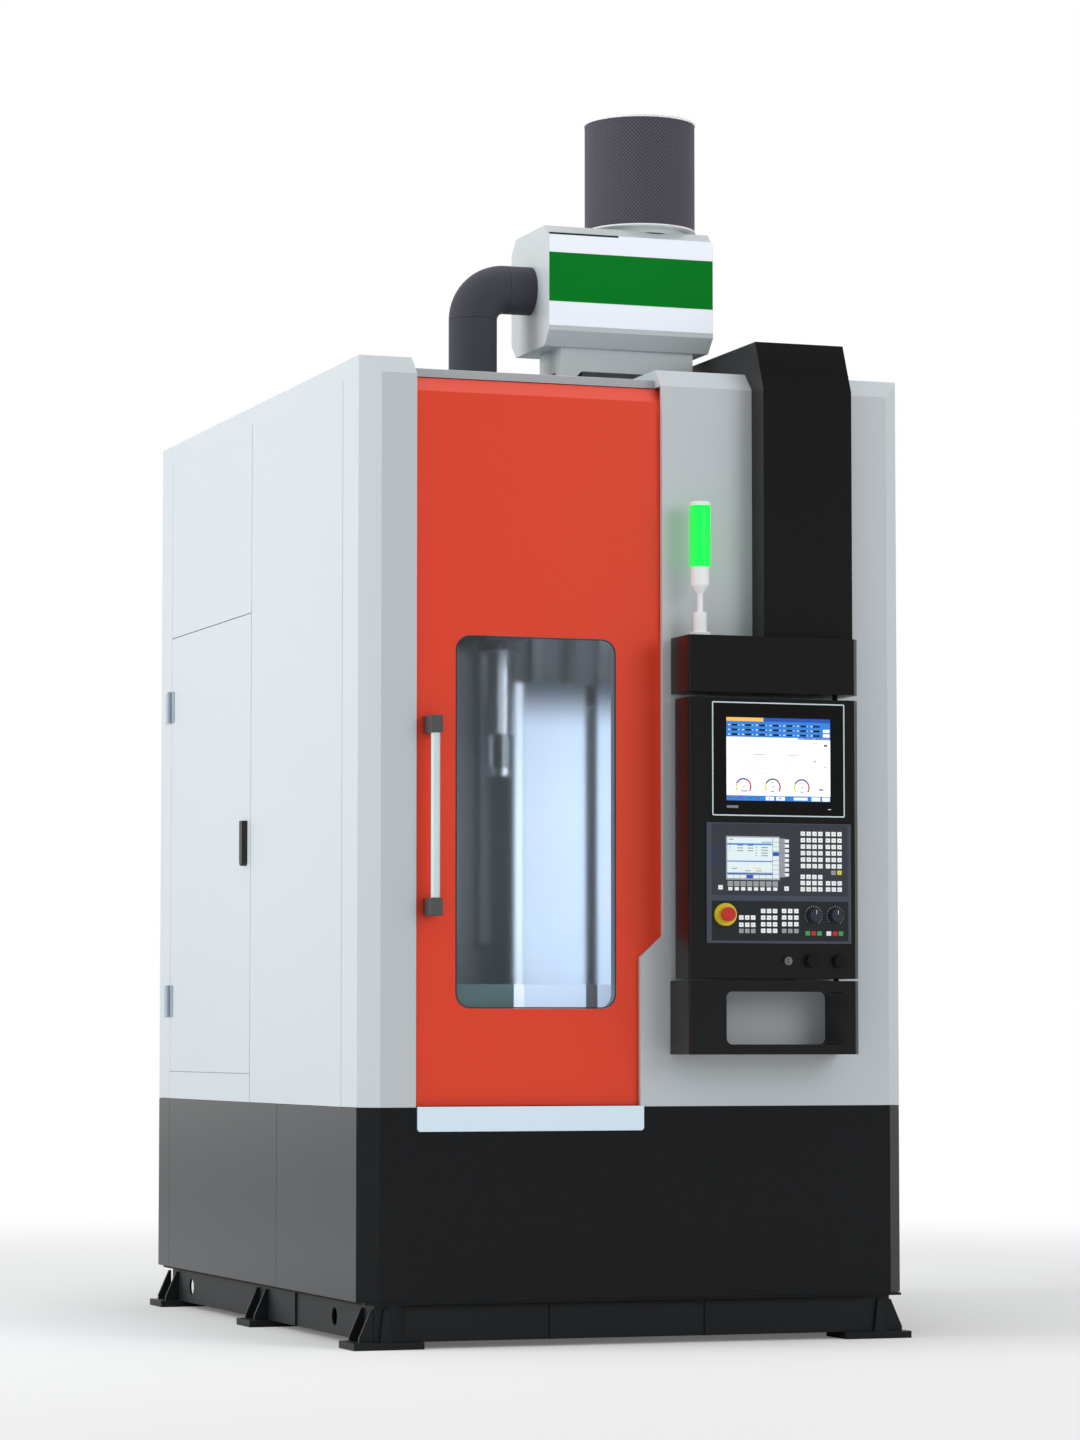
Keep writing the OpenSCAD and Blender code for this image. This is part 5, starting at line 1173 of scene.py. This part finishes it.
drum_low, drum_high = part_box("mist_filter")
weave_values = {"Wire": linear(92, 90, 100), "Gap": linear(39, 38, 44), "Centre": (drum_low + drum_high) / 2}
drum_mesh = material_of("slate woven filter mesh", {
    "weave": placed(WEAVE, weave_values),
    "bump": new_node("Bump", {"Strength": 0.4, "Distance": 0.001}),
}, "weave.Colour > shader.Base Color, weave.Height > bump.Height, bump.Normal > shader.Normal",
    {"Roughness": 0.65, "Specular IOR Level": 0.3}, weave_values["Wire"])


# %% [markdown]
# The oil-mist purifier stands on the roof on four rubber feet. Its front plate with a green band and a
# narrow dark slot lies on the housing as thin sheets, each a little in front of the last.

# %% Purifier
SHEET = 0.6
PLATE_INSET, PLATE_FOOT, PLATE_TOP = 1.2, 345.0, 46.0
BAND_TOP_SHARE, BAND_FOOT_SHARE, SLOT_SHARE = 0.21, 0.74, 0.42
LOWER_DISC, UPPER_DISC = 0.0255, 0.0125
purifier_white = coated("warm white powder coat", (206, 212, 214), 0.42, 0.03, 1.6)
# The white plate glows a little; that glow is painted light, as the plate is no lamp.
plate_white_painted_glow = glowing("white plate enamel", (236, 241, 250), 0.22, 0.4)
green_band = coated("green band paint", (0, 132, 36), 0.45, 0.04, 3.0, 420.0, 0.2, 0.02, 0.08)
slot_dark = coated("dark slot", (30, 32, 34), 0.6, 0.05, 6.0)

on_roof_feet = where(z=(-FAR, 3.0845))
between_discs = where(z=(drum_low.z + LOWER_DISC, drum_high.z - UPPER_DISC))
softened("purifier_housing", purifier_white, "purifier_paint", 0.0020, special=[(rubber, on_roof_feet)])
softened("mist_filter", white_plastic, "filter_mesh", 0.0015, special=[(drum_mesh, between_discs)])
softened("elbow_duct", slate_paint, "duct_paint", 0.0015)

(x0, y0, z0), (x1, y1, z1) = box_mm("purifier_housing")
x0, x1, z0, z1 = x0 + PLATE_INSET, x1 - PLATE_INSET, z1 - PLATE_FOOT, z1 - PLATE_TOP
band = (x0, x1, z1 - BAND_FOOT_SHARE * (z1 - z0), z1 - BAND_TOP_SHARE * (z1 - z0))
slot = (x0, x0 + SLOT_SHARE * (x1 - x0), z1 - 5.0, z1 + 1.0)
purifier_front = gather("purifier_front", [
    plates("front_plate", [(x0, x1, z0, z1)], y0 - SHEET, y0, plate_white_painted_glow),
    plates("front_band", [band], y0 - 2 * SHEET, y0 - SHEET, green_band),
    plates("front_slot", [slot], y0 - 2 * SHEET, y0, slot_dark),
])
hold(purifier_front, "machine", "purifier_paint")
print("purifier dressed, its front", [round(v, 1) for v in (x0, x1, z0, z1)])


# %% [markdown]
# The panels meet at narrow joints, which lie in shade and show as fine lines. Here that shade is painted:
# each joint holds a slim bar, dark above the side door and in the skirt, grey elsewhere, that fills the
# joint and stands a quarter of a millimetre proud, so the line stays visible.

# %% Joint strips
SIDE_X = 900.0
PROUD = 0.25
STRIP_DEPTH = 1.5
WALL_TOP = 2986.0
FRONT_JOINT, SKIRT_JOINT = -1036.0, -315.0
SKIRT_FOOT = 146.0
HALF_WALL_JOINT, HALF_SKIRT_JOINT = 0.7, 0.9
EASE = 0.1
SIDE_STRIP, FOOT_STRIP, TOP_STRIP = 1.0, 1.2, 2.4
# Painted shade for the joints: grey in the walls, dark in the skirt and above the side door.
joint_shade_pale = coated("grey joint strip", (128, 136, 144), 0.6, 0.06, 4.0)
joint_shade_dark = coated("dark joint strip", (38, 42, 46), 0.7, 0.06, 4.0)


def side_bar(side, y0, y1, z0, z1):
    """A bar in a joint of the left (side -1) or right (side 1) wall."""
    outer = side * (SIDE_X + PROUD)
    inner = side * (SIDE_X - STRIP_DEPTH)
    return (min(outer, inner), max(outer, inner), y0, y1, z0, z1)


skirt_top = box_mm("lower_side_panels")[1][2]
wall_foot = skirt_top + 2
door_low, door_high = box_mm("side_door")
door_front, door_foot = door_low[1:]
door_rear, door_top = door_high[1:]
pale_bars = [side_bar(side, FRONT_JOINT - HALF_WALL_JOINT, FRONT_JOINT + HALF_WALL_JOINT, wall_foot, WALL_TOP)
             for side in (-1, 1)]
pale_bars.append(side_bar(-1, door_front - SIDE_STRIP, door_front - EASE, wall_foot, WALL_TOP))
pale_bars.append(side_bar(-1, door_rear + EASE, door_rear + SIDE_STRIP, wall_foot, WALL_TOP))
pale_bars.append(side_bar(-1, door_front, door_rear, door_foot - FOOT_STRIP, door_foot - EASE))
dark_bars = [side_bar(-1, door_front, door_rear, door_top + EASE, door_top + TOP_STRIP)]
for side in (-1, 1):
    joint = (SKIRT_JOINT - HALF_SKIRT_JOINT, SKIRT_JOINT + HALF_SKIRT_JOINT)
    dark_bars.append(side_bar(side, *joint, SKIRT_FOOT, skirt_top - 2))
hold(bars("wall_joints", pale_bars, joint_shade_pale), "machine", "body_paint")
hold(bars("skirt_joints", dark_bars, joint_shade_dark), "machine", "skirt_paint")
print("side door", [round(v, 1) for v in (door_front, door_rear, door_foot, door_top)])

# %% [markdown]
# Under the skirt a shaded gap runs all round above the base rails, and the front rail carries a flat cover
# between the feet with a shaded gap on its left and along its top. Black bars fill these gaps as painted
# shade.

# %% Base gaps
GAP_FOOT, GAP_TOP, GAP_END = 136.0, 141.0, 20.0
COVER_GAPS = [(-759.0, 766.0, 127.0, 130.5), (-760.5, -757.5, 34.0, 130.5)]
rail_low, rail_high = box_mm("base_frame")
rail_x, rail_front, rail_rear = rail_high[0], rail_low[1], rail_high[1]
# Painted shade: black bars in the shaded gaps along the side rails and round the front cover.
gap_shade_bars = [(-rail_x - PROUD, -rail_x + 2, rail_front + GAP_END, rail_rear - GAP_END, GAP_FOOT, GAP_TOP)]
gap_shade_bars.append((rail_x - 2, rail_x + PROUD, rail_front + GAP_END, rail_rear - GAP_END, GAP_FOOT, GAP_TOP))
gap_shade_bars += [(x0, x1, rail_front - PROUD, rail_front + 2, z0, z1) for x0, x1, z0, z1 in COVER_GAPS]
hold(bars("base_gaps", gap_shade_bars, rubber), "machine", "black_plastic")

# %% [markdown]
# The guard's left edge carries a bright round moulding, and a dark cover closes the slot above the
# inductor's travel.

# %% Guard edge
MOULDING_X0, MOULDING_X1 = -229.0, -197.0
MOULDING_PROUD, MOULDING_DEEP, MOULDING_RADIUS = 2, 16, 0.008
COVER_X0, COVER_X1, COVER_FOOT = 15.5, 54.5, 2012.0
COVER_PROUD, COVER_EASE = 1.5, 0.1
(x0, y0, z0), (x1, y1, z1) = box_mm("column_guard")
moulding = (MOULDING_X0, MOULDING_X1, y0 - MOULDING_PROUD, y0 + MOULDING_DEEP, z0 + 2, z1)
moulding = bars("guard_moulding", [moulding], white_paint)
hold(rounded(moulding, MOULDING_RADIUS, 3), "machine", "steel")
cover = (COVER_X0, COVER_X1, y0 - COVER_PROUD, y0 - COVER_EASE, COVER_FOOT, z1 - 2)
hold(bars("slot_cover", [cover], rubber), "machine", "black_plastic")

# %% [markdown]
# Below the guard a bright apron hangs on the basin's front and leads the spray back into the basin.
# It stands right behind the door, in front of the chamber lamps, which shine away from it, so its sheet and
# moulding glow with painted light instead.
# From the operator's left its bands run on from the guard's moulding, sheet and slot.

# %% Basin apron
# Painted light: the apron's sheet and moulding glow, though they are no lamps.
apron_sheet_painted_light = glowing("lit stainless apron", (206, 220, 238), 0.47)
apron_moulding_painted_light = glowing("lit white moulding", (236, 242, 249), 0.50)
APRON_FOOT, APRON_GAP, APRON_THICK = 985.0, 0.2, 1.5
# Each band from left to right, with its two sides and its finish
APRON_BANDS = [
    (-377.0, -344.0, apron_moulding_painted_light), (-344.0, -140.0, apron_sheet_painted_light),
    (-140.0, -102.0, chamber_paint), (-102.0, 168.0, apron_sheet_painted_light),
]
basin_low, basin_high = box_mm("quench_tank")
apron_back = basin_low[1] - APRON_GAP
bands = []
for number, (x0, x1, finish) in enumerate(APRON_BANDS):
    block = (x0, x1, apron_back - APRON_THICK, apron_back, APRON_FOOT, basin_high[2])
    bands.append(bars("apron%d" % number, [block], finish))
hold(gather("basin_apron", bands), "machine", "steel")
